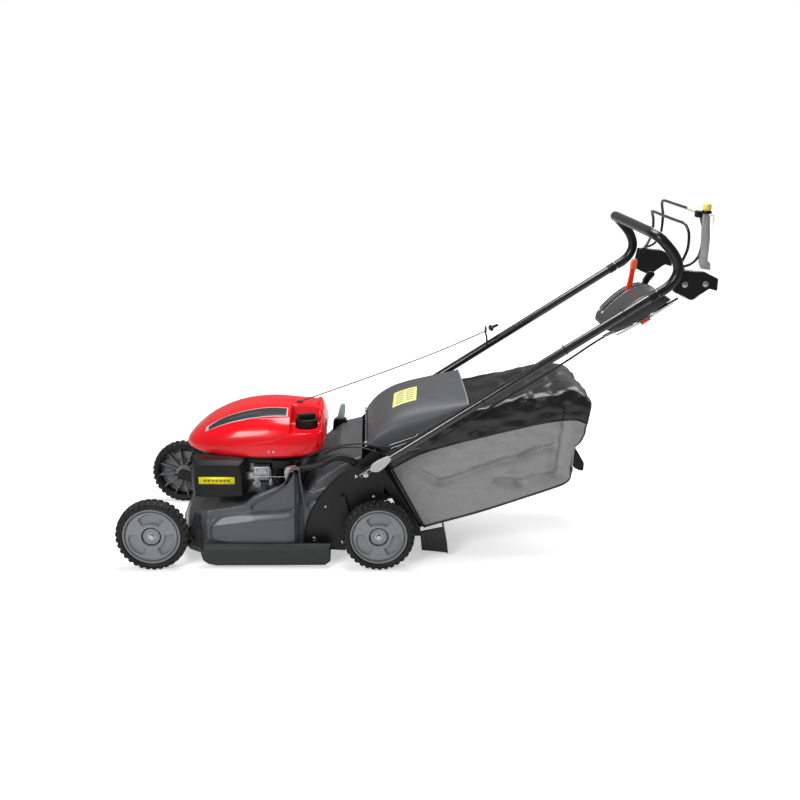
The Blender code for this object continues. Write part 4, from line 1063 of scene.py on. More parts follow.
@dataclass
class Bag:
    """The grass bag: a solid top panel, mesh sides, edge binding, mouth frame and rear handle.

    Attributes:
        half_width: Half of its width at the widest.
        panel_cut: Width and length of the cloth that the top panel is cut from, and panel_area its own
        flat area; neither is used.
        mesh_cut: The same for the mesh body, whose flat area is mesh_area; neither is used.
    """

    half_width: float = 0.188
    panel_cut: tuple[float, float] = (0.60, 0.64)
    panel_area: float = 0.357
    mesh_cut: tuple[float, float] = (0.86, 0.62)
    mesh_area: float = 0.463
    # Lower x and z, upper x and z, and how much narrower, at each section from the mouth to the rear.
    sections: tuple = (
        (0.044, 0.088, -0.092, 0.338, 0.010),
        (0.118, 0.110, 0.000, 0.402, 0.004),
        (0.220, 0.142, 0.100, 0.438, 0.000),
        (0.332, 0.181, 0.240, 0.474, 0.000),
        (0.420, 0.212, 0.385, 0.506, 0.002),
        (0.462, 0.230, 0.482, 0.510, 0.006),
        (0.488, 0.262, 0.524, 0.476, 0.014),
    )

    def net(self) -> tuple[Array, Array, Array]:
        """The bag before its folds: rows from the mouth to the middle of the rear panel, columns round it.

        A row is a six-sided ring in the section's own plane: bottom, near side up to the seam, near side
        over it, top, far side over the seam and far side under it, each with its own number of columns,
        so the seam stays on one column. Averaging neighbours then rounds its corners, more at the top
        than at the bottom. The last rows shrink the rear ring to its middle, which makes the rear panel.

        Returns:
            The points, the place of each row from 0 at the mouth to 1, and how far each row is up its
            section.
        """
        fine = catmull(np.array(self.sections), 20)
        counts = (36, 46, 28, 44, 28, 46)
        seam = 0.73 - 0.04 * np.linspace(0, 1, len(fine))
        one, none = np.ones(len(fine)), np.zeros(len(fine))
        corners = [(-one, none), (-one, seam), (-one, one), (one, one), (one, seam), (one, none)]
        order = [5, 0, 1, 2, 3, 4]
        across, up = [], []
        for index, count in enumerate(counts):
            first, last = corners[order[index]], corners[order[(index + 1) % 6]]
            t = np.arange(count) / count
            across.append(first[0][:, None] * (1 - t) + last[0][:, None] * t)
            up.append(first[1][:, None] * (1 - t) + last[1][:, None] * t)
        across, up = np.concatenate(across, 1), np.concatenate(up, 1)
        low_x, low_z, high_x, high_z, less = (fine[:, k, None] for k in range(5))
        y = across * (self.half_width - less)
        pinch = np.linspace(0, 1, len(fine))[:, None]
        pull = 0.042 * smoothstep(0.86, 1.0,
            pinch) * np.exp(-(((up - 0.20) / 0.17) ** 2)) * np.abs(across) ** 4
        grid = np.stack([low_x + (high_x - low_x) * up - pull, y, low_z + (high_z - low_z) * up], -1)
        rear = grid[-1]
        middle = rear.mean(0)
        shrink = np.linspace(1, 0, 26)[1:-1, None, None]
        panel = middle + (rear - middle) * shrink + np.array([0.014, 0, 0]) * (1 - shrink**2)
        grid = np.concatenate([grid, panel])
        up = np.concatenate([up, np.repeat(up[-1:], len(panel), 0)])
        tight, loose = grid.copy(), grid.copy()
        for _ in range(2):
            tight = (np.roll(tight, 1, 1) + 2 * tight + np.roll(tight, -1, 1)) / 4
        for _ in range(22):
            loose = (np.roll(loose, 1, 1) + 2 * loose + np.roll(loose, -1, 1)) / 4
        share = smoothstep(0.55, 0.85, up)[..., None]
        grid = tight * (1 - share) + loose * share
        for _ in range(3):
            grid[1:-1] = (grid[:-2] + 2 * grid[1:-1] + grid[2:]) / 4
        self.rear_row = len(fine) - 1
        self.seam_columns = (counts[0] + counts[1], sum(counts[:5]))
        self.low_columns = (counts[0], 0)
        return grid, np.linspace(0, 1, len(grid)), up

    @staticmethod
    def waves(x: Array, z: Array, count: int, seed: int, low: float, high: float) -> Array:
        """A sum of sines in x and z with seeded directions and phases, each sharpened to a soft ridge."""
        draw = np.random.default_rng(seed)
        total = np.zeros(np.broadcast(x, z).shape)
        for _ in range(count):
            pitch, turn, phase = draw.uniform(low, high), draw.uniform(0, math.pi), draw.uniform(0, math.tau)
            wave = np.sin((x * math.cos(turn) + z * math.sin(turn)) / pitch * math.tau + phase)
            total += np.sign(wave) * np.abs(wave) ** 0.8 * pitch
        return total / (count * high)

    @staticmethod
    def crease(x: Array, z: Array, start: tuple[float, float], end: tuple[float, float],
        width: float) -> Array:
        """1 on the straight line from start to end in x and z, falling off as a bell of that width to
        both sides and past its ends.
        """
        start, end = np.array(start), np.array(end)
        span = end - start
        t = ((x - start[0]) * span[0] + (z - start[1]) * span[1]) / (span @ span)
        held = np.clip(t, 0, 1)
        gap = np.hypot(x - start[0] - held * span[0], z - start[1] - held * span[1])
        return np.exp(-((gap / width) ** 2))

    def cloth(self) -> tuple[bpy.types.Object, bpy.types.Object]:
        """The top panel and the mesh body, parted along the side seam, with folds and wrinkles pressed in.

        The panel is the share of the section above the seam line, whose angle falls from the shoulder at the
        mouth. Cloth sinks between its edges by a product of sines, and creases add soft ridges.

        Returns:
            The top panel and the mesh body.
        """
        base, s, up = self.net()
        s = s[:, None]
        dx, dz = base[..., 0], base[..., 2]
        inward = np.stack([0.25 - dx, -base[..., 1] * 1.5, 0.31 - dz], -1)
        inward /= np.linalg.norm(inward, axis=-1, keepdims=True)
        side = smoothstep(0.80, 0.97, np.abs(base[..., 1]) / self.half_width) * smoothstep(0.02, 0.10, up)
        top = smoothstep(0.84, 0.99, up)
        free = smoothstep(0.0, 0.10, s) * (1 - 0.35 * smoothstep(0.85, 1.0, s))
        sag = 0.0
        for start, end, width, depth in (
            ((0.020, 0.265), (0.085, 0.225), 0.010, 0.0120), ((0.085, 0.225), (0.420, 0.345), 0.011, 0.0170),
            ((0.160, 0.190), (0.290, 0.262), 0.014, -0.0060),
            ((0.260, 0.235), (0.330, 0.225), 0.012, 0.0150), ((0.330, 0.225), (0.450, 0.262), 0.012, 0.0150),
            ((0.440, 0.250), (0.455, 0.470), 0.011, 0.0090),
            ((0.300, 0.300), (0.430, 0.455), 0.020, -0.0050),
            ((0.060, 0.300), (0.200, 0.400), 0.018, 0.0040),
            ((0.390, 0.240), (0.405, 0.360), 0.012, -0.0030),
        ):
            sag = sag + depth * self.crease(dx, dz, start, end, width)
        fine = self.waves(dx * 1.0, dz * 1.6, 9, 7, 0.040, 0.15) * 0.0105
        small = self.waves(dx, dz, 9, 11, 0.016, 0.045) * 0.0024
        droop = 0.0065 * np.sin(np.pi * np.clip(s, 0, 1)) * (0.45 + 0.55 * side)
        y = base[..., 1]
        top_waves = self.waves(dx * 1.3, y * 0.55, 9, 23, 0.040, 0.12) * 0.0130
        top_folds = 0.0
        for start, end, width, depth in (
            ((0.300, -0.180), (0.440, -0.060), 0.014, -0.0060),
            ((0.360, -0.180), (0.380, 0.150), 0.016, 0.0075),
            ((0.240, -0.170), (0.330, 0.060), 0.018, 0.0070),
            ((0.420, -0.170), (0.440, 0.160), 0.014, 0.0060),
            ((0.170, -0.160), (0.300, -0.120), 0.020, 0.0060),
            ((0.130, 0.120), (0.330, 0.160), 0.020, 0.0060),
        ):
            top_folds = top_folds + depth * self.crease(dx, y, start, end, width)
        swell = 0.0085 * np.sin(np.pi * np.clip(s, 0, 1))
        amount = side * (sag + fine + small + droop) + top * (swell + top_waves + top_folds + small)
        amount = amount + (1 - np.clip(side + top, 0, 1)) * 0.0025
        points = base + inward * (np.clip(amount, -0.003, 0.026) * free)[..., None]
        ring = np.cumsum(np.linalg.norm(np.diff(points, axis=1, append=points[:, :1]), axis=-1), axis=1)
        spine = points.mean(1)
        length = np.cumsum(np.linalg.norm(np.diff(spine, axis=0, prepend=spine[:1]), axis=-1))
        uv = np.stack([np.broadcast_to(length[:, None], dx.shape), ring - ring[:, :1]], -1)
        faces = grid_faces(*dx.shape, False, True)
        column = faces[:, 0] % dx.shape[1]
        in_panel = (column >= self.seam_columns[0]) & (column < self.seam_columns[1])
        made = []
        for name, chosen in (("bag_top_panel", in_panel), ("bag_mesh_body", ~in_panel)):
            used, index = np.unique(faces[chosen], return_inverse=True)
            piece = new_mesh(name, points.reshape(-1, 3)[used], [index.reshape(-1, 4)])
            uv_from_points(piece, uv.reshape(-1, 2)[used])
            made.append(smooth(piece, 80))
        self.surface_points = points
        return made[0], made[1]

    def band(self, name: str, path: Array, wide: float, thick: float) -> bpy.types.Object:
        """A flat binding: a rounded rectangle of cloth carried along a path, with its map in metres."""
        turn = np.linspace(0, math.tau, 12, endpoint=False)
        along = frames(path)[0]
        centre = np.array([0.22, 0.0, 0.31])
        out = path - centre
        out -= along * (out * along).sum(1, keepdims=True)
        out /= np.linalg.norm(out, axis=1, keepdims=True)
        side = np.cross(along, out)
        cos, sin = np.cos(turn), np.sin(turn)
        broad = np.sign(cos) * np.abs(cos) ** 0.6 * wide / 2
        deep = np.sign(sin) * np.abs(sin) ** 0.6 * thick / 2
        grid = path[:, None] + side[:, None] * broad[None, :, None] + out[:, None] * deep[None, :, None]
        made = surface(name, grid, close_columns=True)
        run = np.concatenate([[0], np.cumsum(np.linalg.norm(np.diff(path, axis=0), axis=1))])
        uv = np.stack(np.broadcast_arrays(run[:, None], broad[None]), -1)
        uv_from_points(made, uv)
        return outward(smooth(made, 60))

    def frame_rod(self) -> bpy.types.Object:
        """The bent rod just in front of the mouth, with its two inner bars."""
        low, high = np.array([0.047, 0.096]), np.array([-0.092, 0.338])
        wide = self.half_width - 0.036
        shares = [
            (0.03, -1), (0.10, -1.1), (0.90, -1.1), (0.97, -1),
            (0.97, 1), (0.90, 1.1), (0.10, 1.1), (0.03, 1),
        ]
        flat = np.array([[*(low + (high - low) * share), wide * across] for share, across in shares])
        ahead = np.array([-0.0078, 0.0, -0.0045])
        path = np.stack([flat[:, 0], flat[:, 2], flat[:, 1]], -1) + ahead
        path = catmull(path, 8, closed=True)
        rod = tube("rod", np.concatenate([path, path[:1]]), 0.005, 14)
        bars = []
        for across in (-0.60, 0.60):
            ends = [np.array([*(low + (high - low) * t)]) for t in (0.04, 0.96)]
            line = np.array([[e[0], wide * across, e[1]] for e in ends]) + ahead
            bars.append(tube("bar", np.linspace(line[0], line[1], 6), 0.0035, 10))
        return merged("bag_mouth_frame", [rod, *bars])

    def handle(self) -> bpy.types.Object:
        """The moulded handle at the bottom of the rear panel."""
        outline = [(0.508, 0.290), (0.516, 0.280), (0.535, 0.248), (0.5345, 0.228), (0.532, 0.223),
            (0.520, 0.225),
                   (0.506, 0.232), (0.5, 0.240), (0.4988, 0.252)]
        return prism("bag_rear_handle", outline, -0.060, 0.060, 0.0035, rounds=4)

    def build(self, shop: Workshop) -> None:
        """Builds the bag and rides it on its body."""
        panel, mesh = self.cloth()
        for piece in (panel, mesh):
            walled(piece, 0.0016)
        frame_rod = self.frame_rod()
        shop.fit(panel, "bag_cloth", "bag")
        shop.fit(mesh, "bag_cloth", "bag", "bag_cloth", look="bag_mesh")
        grid, rear = self.surface_points, self.rear_row
        for word, seam, low in zip(("left", "right"), self.seam_columns, self.low_columns):
            shop.fit(self.band(f"bag_seam_{word}", grid[1 : rear + 1, seam], 0.0065, 0.0026), "bag_cloth",
                "bag", look="binding")
            shop.fit(self.band(f"bag_bottom_binding_{word}", grid[1 : rear + 1, low], 0.011, 0.0050),
                "bag_cloth", "bag", look="binding")
        for name, row, wide in (("bag_mouth_binding", 1, 0.014), ("bag_rear_binding", rear, 0.010)):
            ring = np.concatenate([grid[row], grid[row, :1]])
            shop.fit(self.band(name, ring, wide, 0.0040), "bag_cloth", "bag", look="binding")
        shop.fit(frame_rod, "black_paint", "bag", "bag_frame")
        shop.fit(self.handle(), "black_plastic", "bag", "bag_handle")


# ----- Engine -----


@dataclass
class EngineTop:
    """The red cover with its band, screws, fuel cap and rope bush.

    Attributes:
        arches: x, half width, height of the edge, height of the crown, and squareness, from the nose to
            the rear.
        cap: Middle of the fuel cap, and its lower face.
    """

    arches: tuple = (
        (-0.656, 0.020, 0.309, 0.311, 2.2),
        (-0.652, 0.050, 0.307, 0.321, 2.4),
        (-0.625, 0.098, 0.305, 0.348, 2.6),
        (-0.578, 0.134, 0.303, 0.381, 2.8),
        (-0.502, 0.156, 0.300, 0.411, 3.0),
        (-0.412, 0.161, 0.299, 0.424, 3.0),
        (-0.323, 0.160, 0.301, 0.418, 3.0),
        (-0.275, 0.152, 0.309, 0.412, 3.2),
        (-0.252, 0.138, 0.320, 0.402, 3.2),
        (-0.241, 0.118, 0.336, 0.366, 3.0),
    )
    cap: Point = (-0.298, -0.080, 0.357)

    def point(self, x: Array, a: Array) -> Array:
        """The cover's plain surface over x at angle a, 0 at the near edge and a half turn at the far one.

        y is minus half times the sign of cosine a times |cos a| to 2 / squareness, and z rises from the edge
        by (crown - edge) times sine a to the same power.
        """
        fine = catmull(np.array(self.arches), 12)
        half, edge, crown, square = (np.interp(x, fine[:, 0], fine[:, k]) for k in range(1, 5))
        cos, sin = np.cos(a), np.clip(np.sin(a), 0, 1)
        y = -half * np.sign(cos) * np.abs(cos) ** (2 / square)
        z = edge + (crown - edge) * sin ** (2 / square)
        return np.stack(np.broadcast_arrays(x, y, z), -1)

    def shaped(self, x: Array, a: Array) -> Array:
        """The surface with its creases.

        They are a flank that stands proud below a rising line, a step ahead of the cap, a raised lip at
        the rear, and the sunken platform round the cap.
        """
        p = self.point(x, a)
        x, y, z = p[..., 0], p[..., 1], p[..., 2]
        line = np.interp(x, [-0.66, -0.488, -0.400, -0.339, -0.23], [0.318, 0.331, 0.344, 0.364, 0.372])
        below = 1 - smoothstep(line - 0.0022, line + 0.0022, z)
        grow = smoothstep(-0.56, -0.40, x)
        ahead = 1 - smoothstep(-0.345, -0.3405, x)
        above = smoothstep(line - 0.002, line + 0.004, z)
        side = smoothstep(0.55, 0.85, np.abs(y) / 0.155)
        push = 0.0022 * below * grow * side + 0.0042 * ahead * above * side * smoothstep(-0.50, -0.36, x)
        y = y + np.sign(y) * push
        shoulder = np.exp(-(((z - np.interp(x, [-0.62, -0.483, -0.35],
            [0.352, 0.399, 0.405])) / 0.0035) ** 2))
        z = z + 0.0014 * shoulder * ahead * side
        z = z - 0.0030 * smoothstep(0.0012, 0.0, np.abs(x + 0.3425)) * (1 - side)
        lip = np.exp(-(((x + 0.262) / 0.010) ** 2)) * smoothstep(0.06, 0.02,
            np.abs(y - 0.045)) * smoothstep(0.385, 0.40, z)
        z = z + 0.0105 * lip
        gap = np.hypot(x - self.cap[0], y - self.cap[1])
        floor = 0.425 - 0.058 * smoothstep(-0.020, -0.052, y)
        seat = smoothstep(-0.3440, -0.3400, x) * (1 - smoothstep(-0.262, -0.2535, x))
        z = z * (1 - seat) + np.minimum(z, floor) * seat
        ring = np.exp(-(((gap - 0.0405) / 0.0030) ** 2)) * (z > 0.35) * (z < 0.372)
        return np.stack([x, y, z + 0.0016 * ring], -1)

    def cover(self) -> bpy.types.Object:
        """The cover, on a grid that is finer near the panel line and the well."""
        x = np.unique(np.concatenate([np.linspace(-0.656, -0.241, 150), np.linspace(-0.352, -0.252, 76),
            np.linspace(-0.3455, -0.3395, 13)]))
        turn = np.linspace(0, math.pi, 190)
        a = turn - 0.28 * np.sin(2 * turn) / 2
        grid = self.shaped(x[:, None], a[None, :])
        front = grid[:1] * 1.0
        front[..., 1] *= 0.05
        back = grid[-1:] * 1.0
        back[..., 0] += 0.0012
        back[..., 2] = 0.338
        back[..., 1] *= 0.98
        made = surface("engine_cover_shell", np.concatenate([front, grid, back]))
        return walled(outward_up(smooth(made, 35)), 0.0028)

    def patch(self, name: str, edge_low: list, edge_high: list, lift: float) -> bpy.types.Object:
        """A film that follows the cover between two edges, each a list of (x, z) on the near side.

        A point at share v between the edges gets its angle from the height, by inverting the arch.
        """
        u = np.linspace(0, 1, 60)
        low = catmull(np.array(edge_low, float), 12)
        high = catmull(np.array(edge_high, float), 12)
        low = np.stack([np.interp(u, np.linspace(0, 1, len(low)), low[:, k]) for k in (0, 1)], -1)
        high = np.stack([np.interp(u, np.linspace(0, 1, len(high)), high[:, k]) for k in (0, 1)], -1)
        v = np.linspace(0, 1, 14)[None, :, None]
        flat = low[:, None] * (1 - v) + high[:, None] * v
        points = self.shaped(flat[..., 0], flat[..., 1])
        step_u, step_v = np.gradient(points, axis=0), np.gradient(points, axis=1)
        normal = np.cross(step_u, step_v)
        normal /= np.linalg.norm(normal, axis=-1, keepdims=True)
        normal *= np.sign(normal[..., 2:3])
        made = surface(name, points + normal * lift)
        uv = np.stack(np.broadcast_arrays(u[:, None], v[..., 0]), -1)
        uv_from_points(made, uv)
        up = np.empty(len(made.data.polygons) * 3)
        made.data.polygons.foreach_get("normal", up)
        if up.reshape(-1, 3)[:, 2].mean() < 0:
            made.data.flip_normals()
        return walled(made, lift * 0.8)

    def fuel_cap(self) -> bpy.types.Object:
        """The cap: a knurled skirt whose radius swings with the sine of 36 times the angle, a dished top
        and a grip bar.
        """
        x, y, low = self.cap
        line = np.array([(0.0, 0.0), (0.026, 0.0), (0.0315, 0.002), (0.0325, 0.006), (0.0325, 0.020),
            (0.0325, 0.031), (0.0318, 0.0345),
                         (0.0295, 0.0365), (0.0262, 0.0370), (0.0248, 0.0355), (0.0242, 0.0330),
                         (0.0, 0.0330)])
        angle = np.linspace(0, math.tau, 216, endpoint=False)
        knurl = smoothstep(0.0300, 0.0320, line[:, 0])[:, None] * 0.0011 * np.abs(np.sin(18 * angle))
        radial = line[:, :1] - knurl
        grid = np.stack(np.broadcast_arrays(x + radial * np.cos(angle), y + radial * np.sin(angle),
            low + line[:, 1:]), -1)
        body = surface("cap", grid, close_columns=True)
        weld(body)
        outward(smooth(body))
        turn = math.radians(14)
        bar = []
        for along, wide in ((-0.0262, 0.0040), (-0.020, 0.0062), (0.020, 0.0062), (0.0262, 0.0040)):
            bar.append((along, -wide))
        bar += [(along, -wide) for along, wide in reversed(bar)]
        outline = [(x + p * math.cos(turn) - q * math.sin(turn),
            y + p * math.sin(turn) + q * math.cos(turn)) for p, q in bar]
        grip = prism("bar", outline, low + 0.030, low + 0.0495, 0.0022, "z")
        return merged("fuel_cap_knurled", [body, grip])

    def build(self, shop: Workshop) -> None:
        """Builds the cover and everything on it."""
        shop.fit(self.cover(), "cover_red", "chassis", "engine_cover")
        low, high = [0.74, 0.80, 0.86, 0.93, 0.96], [0.96, 1.14, 1.24, 1.30, 1.31]
        xs = [-0.592, -0.545, -0.475, -0.40, -0.352]
        silver = self.patch("cover_band_edge", list(zip(xs, low)), list(zip(xs, high)), 0.0007)
        shop.fit(silver, "steel", "chassis", look="silver_film")
        xs = [-0.582, -0.545, -0.475, -0.40, -0.3555]
        grey = self.patch("cover_band_film", list(zip(xs, [a + 0.03 for a in low])),
            list(zip(xs, [a - 0.03 for a in high])), 0.0012)
        shop.fit(grey, "black_plastic", "chassis", look="cover_band")
        screws = []
        for x in (-0.403, -0.389):
            y = self.shaped(np.array(x), np.array(0.045))[1]
            screws.append(turned("screw", [(0, -0.0022), (0.0028, -0.0018), (0.0036, -0.0005),
                (0.0036, 0.003), (0, 0.003)], (x, y, 0.316), "y", 20))
        shop.fit(merged("cover_screws", screws), "steel", "chassis")
        shop.fit(self.fuel_cap(), "black_plastic", "filler_cap", "fuel_cap")
        bush = turned("rope_bush", [(0.002, -0.010), (0.009, -0.010), (0.0095, 0.0025), (0.0075, 0.0042),
            (0.0035, 0.0030), (0.002, -0.010)],
                      (-0.3235, 0.0, 0.4170), "z", 32)
        shop.fit(bush, "black_plastic", "chassis")


@dataclass
class EngineSide:
    """What shows at the near side below the cover: the air box, the carburettor and its linkage."""

    def air_box(self) -> bpy.types.Object:
        """The air box: one outline lofted through rings, the last ones smaller for a deep chamfer."""
        outline = np.array([
            (-0.604, 0.300), (-0.486, 0.300), (-0.474, 0.290), (-0.468, 0.262), (-0.468, 0.208),
            (-0.478, 0.193), (-0.606, 0.191), (-0.619, 0.203), (-0.6215, 0.262), (-0.617, 0.290),
        ])
        outline = catmull(outline, 4, closed=True)
        centre = outline.mean(0)
        rings = []
        for y, size, rise in ((-0.135, 0.992, 0.0), (-0.150, 0.998, 0.0), (-0.185, 1.0, 0.0),
            (-0.192, 0.995, -0.0005), (-0.2035, 0.900, -0.0035),
                              (-0.2065, 0.865, -0.0040), (-0.2070, 0.84, -0.0040), (-0.2070, 0.0, -0.0040)):
            ring = centre + (outline - centre) * size
            rings.append(np.stack([ring[:, 0], np.full(len(ring), y), ring[:, 1] + rise], -1))
        made = surface("air_box_shell", np.array(rings), close_columns=True)
        weld(made)
        return outward(smooth(made, 24))

    def carburettor(self) -> list[bpy.types.Object]:
        """The carburettor's body, bowl, throat and governor drum, as turned and bevelled castings."""
        body = block("body", (-0.449, -0.168, 0.229), (-0.400, -0.118, 0.271), 0.003)
        bowl = turned("bowl", [(0, 0.180), (0.010, 0.180), (0.017, 0.183), (0.019, 0.189), (0.019, 0.214),
            (0.021, 0.216), (0.021, 0.221), (0, 0.221)],
                      (-0.425, -0.140, 0.0), "z", 40)
        throat = turned("throat", [(0, -0.468), (0.015, -0.468), (0.0165, -0.462), (0.0165, -0.448),
            (0.014, -0.440), (0, -0.440)], (0.0, -0.150, 0.238), "x", 36)
        drum = turned("drum", [(0, -0.1725), (0.0055, -0.1725), (0.006, -0.1700), (0.0115, -0.1700),
            (0.0125, -0.1685), (0.0125, -0.155), (0, -0.155)],
                      (-0.438, 0.0, 0.219), "y", 36)
        flange = block("flange", (-0.4035, -0.166, 0.212), (-0.3975, -0.112, 0.264), 0.0015)
        return [body, bowl, throat, drum, flange]

    def linkage(self) -> list[bpy.types.Object]:
        """Rods, a light spring and a teardrop lever in front of the carburettor."""
        rods = [
            tube("rod", catmull(np.array([(-0.463, -0.172, 0.250), (-0.455, -0.173, 0.244),
                (-0.400, -0.173, 0.2435), (-0.352, -0.173, 0.244), (-0.344, -0.170, 0.252)]), 6), 0.0011, 8),
            tube("rod", catmull(np.array([(-0.455, -0.172, 0.232), (-0.448, -0.174, 0.214),
                (-0.436, -0.174, 0.200), (-0.430, -0.170, 0.196)]), 6), 0.0011, 8),
            spring("spring", (-0.452, -0.174, 0.205), (-0.425, -0.174, 0.247), 0.0022, 14, 0.0005),
        ]
        drop = catmull(np.array([(-0.397, 0.240), (-0.3925, 0.230), (-0.3885, 0.219), (-0.392, 0.210),
            (-0.397, 0.207), (-0.402, 0.210), (-0.4055, 0.219), (-0.4015, 0.230)]), 4, closed=True)
        rods.append(prism("lever", drop.tolist(), -0.1740, -0.1705, 0.0010))
        for x, z in ((-0.412, 0.2595), (-0.440, 0.2595), (-0.397, 0.2165)):
            rods.append(turned("screw", [(0, -0.1760), (0.0030, -0.1760), (0.0040, -0.1745),
                (0.0040, -0.166), (0, -0.166)], (x, 0, z), "y", 18))
        return rods

    def fins(self) -> bpy.types.Object:
        """Cooling fins round the cylinder, and the dark bracket above the carburettor, seen in the gap
        under the cover.
        """
        parts = [block("fin", (-0.372, -0.128, z), (-0.326, 0.118, z + 0.0022), 0.0006,
            2) for z in np.linspace(0.196, 0.272, 9)]
        parts.append(block("bracket", (-0.395, -0.160, 0.262), (-0.338, -0.110, 0.2865), 0.003))
        parts.append(block("rail", (-0.465, -0.150, 0.2755), (-0.320, -0.110, 0.2870), 0.002))
        return merged("cylinder_fins", parts)

    def build(self, shop: Workshop) -> None:
        """Builds the near side of the engine."""
        shop.fit(self.air_box(), "black_plastic", "chassis", "air_filter_cover")
        label = surface("air_box_label", np.array([[(-0.599, -0.2074, 0.2330), (-0.599, -0.2074, 0.2545)],
            [(-0.497, -0.2074, 0.2330), (-0.497, -0.2074, 0.2545)]]))
        uv_from_points(label, np.array([(0, 0), (0, 1), (1, 0), (1, 1)]))
        shop.fit(walled(label, 0.0003), "yellow_plastic", "chassis", look="box_label")
        shop.fit(merged("carburettor_body", self.carburettor()), "cast_alloy", "chassis", "carburettor")
        shop.fit(merged("throttle_linkage", self.linkage()), "steel", "chassis")
        shop.fit(self.fins(), "black_plastic", "chassis")


# ----- Deck -----


@dataclass
class Deck:
    """The cast deck with its bulged side, the skirts, plates' trims and the front quadrants.

    Attributes:
        rows: x, half width, base, shoulder, ridge y and z, valley y and z, crown y and z, from front to
            rear.
        lens: x, upper and lower height of the bulge that the side wall swells into.
    """

    rows: tuple = (
        (-0.655, 0.150, 0.035, 0.095, 0.120, 0.110, 0.095, 0.112, 0.060, 0.115),
        (-0.635, 0.200, 0.030, 0.130, 0.165, 0.145, 0.135, 0.148, 0.080, 0.150),
        (-0.600, 0.222, 0.028, 0.145, 0.192, 0.157, 0.165, 0.157, 0.100, 0.157),
        (-0.575, 0.248, 0.028, 0.140, 0.215, 0.160, 0.168, 0.160, 0.100, 0.160),
        (-0.550, 0.250, 0.028, 0.140, 0.220, 0.163, 0.170, 0.165, 0.100, 0.165),
        (-0.470, 0.250, 0.028, 0.150, 0.220, 0.176, 0.170, 0.165, 0.100, 0.165),
        (-0.445, 0.250, 0.028, 0.155, 0.220, 0.199, 0.180, 0.165, 0.100, 0.165),
        (-0.345, 0.250, 0.028, 0.165, 0.220, 0.243, 0.180, 0.165, 0.100, 0.165),
        (-0.325, 0.246, 0.028, 0.172, 0.216, 0.280, 0.180, 0.180, 0.100, 0.165),
        (-0.314, 0.226, 0.028, 0.172, 0.203, 0.262, 0.175, 0.180, 0.100, 0.165),
        (-0.300, 0.213, 0.028, 0.172, 0.190, 0.200, 0.165, 0.190, 0.100, 0.210),
        (-0.270, 0.211, 0.030, 0.178, 0.188, 0.195, 0.165, 0.225, 0.120, 0.262),
        (-0.200, 0.209, 0.045, 0.205, 0.186, 0.222, 0.165, 0.275, 0.120, 0.325),
        (-0.135, 0.205, 0.090, 0.240, 0.182, 0.262, 0.165, 0.305, 0.130, 0.338),
    )
    lens: tuple = (
        (-0.570, 0.100, 0.098), (-0.556, 0.128, 0.076), (-0.530, 0.144, 0.066), (-0.480, 0.151, 0.060),
        (-0.420, 0.155, 0.056), (-0.360, 0.159, 0.056), (-0.325, 0.164, 0.064),
    )

    def shell(self) -> bpy.types.Object:
        """The shell: each row becomes a polyline from the near base over the crown to the far base.

        Rows are joined by straight stretches and softened by averaging neighbours. The side wall then stands
        in by 9 mm outside the lens-shaped bulge, with a soft edge, and thin parting lines run along it.
        """
        rows = np.array(self.rows)
        x = np.unique(np.concatenate([np.linspace(-0.655, -0.135, 150), rows[:, 0]]))
        sizes = [np.interp(x, rows[:, 0], rows[:, k]) for k in range(1, 10)]
        for _ in range(3):
            sizes = [np.concatenate([v[:1], (v[:-2] + 2 * v[1:-1] + v[2:]) / 4, v[-1:]]) for v in sizes]
        half, base, shoulder, ridge_y, ridge, valley_y, valley, crown_y, crown = sizes
        corners = [(half, base), (half, shoulder - 0.020), (half - 0.012, shoulder),
            (ridge_y + 0.008, ridge), (ridge_y - 0.012, ridge),
                   (valley_y, valley), (crown_y, crown), (0 * half, crown)]
        steps = (26, 6, 18, 5, 12, 10, 8)
        ys, zs = [], []
        for (y0, z0), (y1, z1), count in zip(corners, corners[1:], steps):
            t = np.arange(count) / count
            ys.append(y0[:, None] * (1 - t) + y1[:, None] * t)
            zs.append(z0[:, None] * (1 - t) + z1[:, None] * t)
        y, z = np.concatenate(ys, 1), np.concatenate(zs, 1)
        for _ in range(2):
            y[:, 1:-1] = (y[:, :-2] + 2 * y[:, 1:-1] + y[:, 2:]) / 4
            z[:, 1:-1] = (z[:, :-2] + 2 * z[:, 1:-1] + z[:, 2:]) / 4
        lens = np.array(self.lens)
        grid_x = np.broadcast_to(x[:, None], y.shape)
        top, low = (np.interp(x, lens[:, 0], lens[:, k])[:, None] for k in (1, 2))
        ahead = smoothstep(-0.572, -0.556, grid_x)
        inside = ahead * smoothstep(low - 0.004, low + 0.008,
            z) * (1 - smoothstep(top - 0.001, top + 0.006, z))
        wall = smoothstep(0.90, 0.97, y / half[:, None]) * (grid_x > -0.60) * (grid_x < -0.318)
        above = smoothstep(top, top + 0.05, z)
        y = y - 0.0105 * wall * (1 - inside) * (1 - 0.5 * above)
        for line_z in (0.1795,):
            rise = line_z + 0.062 * smoothstep(-0.445, -0.330, grid_x)
            y = y - 0.0012 * np.exp(-(((z - rise) / 0.0014) ** 2)) * (grid_x > -0.46) * (grid_x < -0.322)
        near = np.stack([grid_x, -y, z], -1)
        far = np.stack([grid_x, y, z], -1)[:, ::-1]
        middle = np.stack([x, 0 * x, crown], -1)[:, None]
        grid = np.concatenate([near, middle, far], 1)
        front = grid[:1].copy()
        front[..., 0] -= 0.002
        nose = front.copy()
        nose[..., 0] += 0.0005
        nose[..., 2] = 0.035
        made = surface("deck_casting", np.concatenate([nose, front, grid]))
        return walled(outward_up(smooth(made, 38)), 0.003)

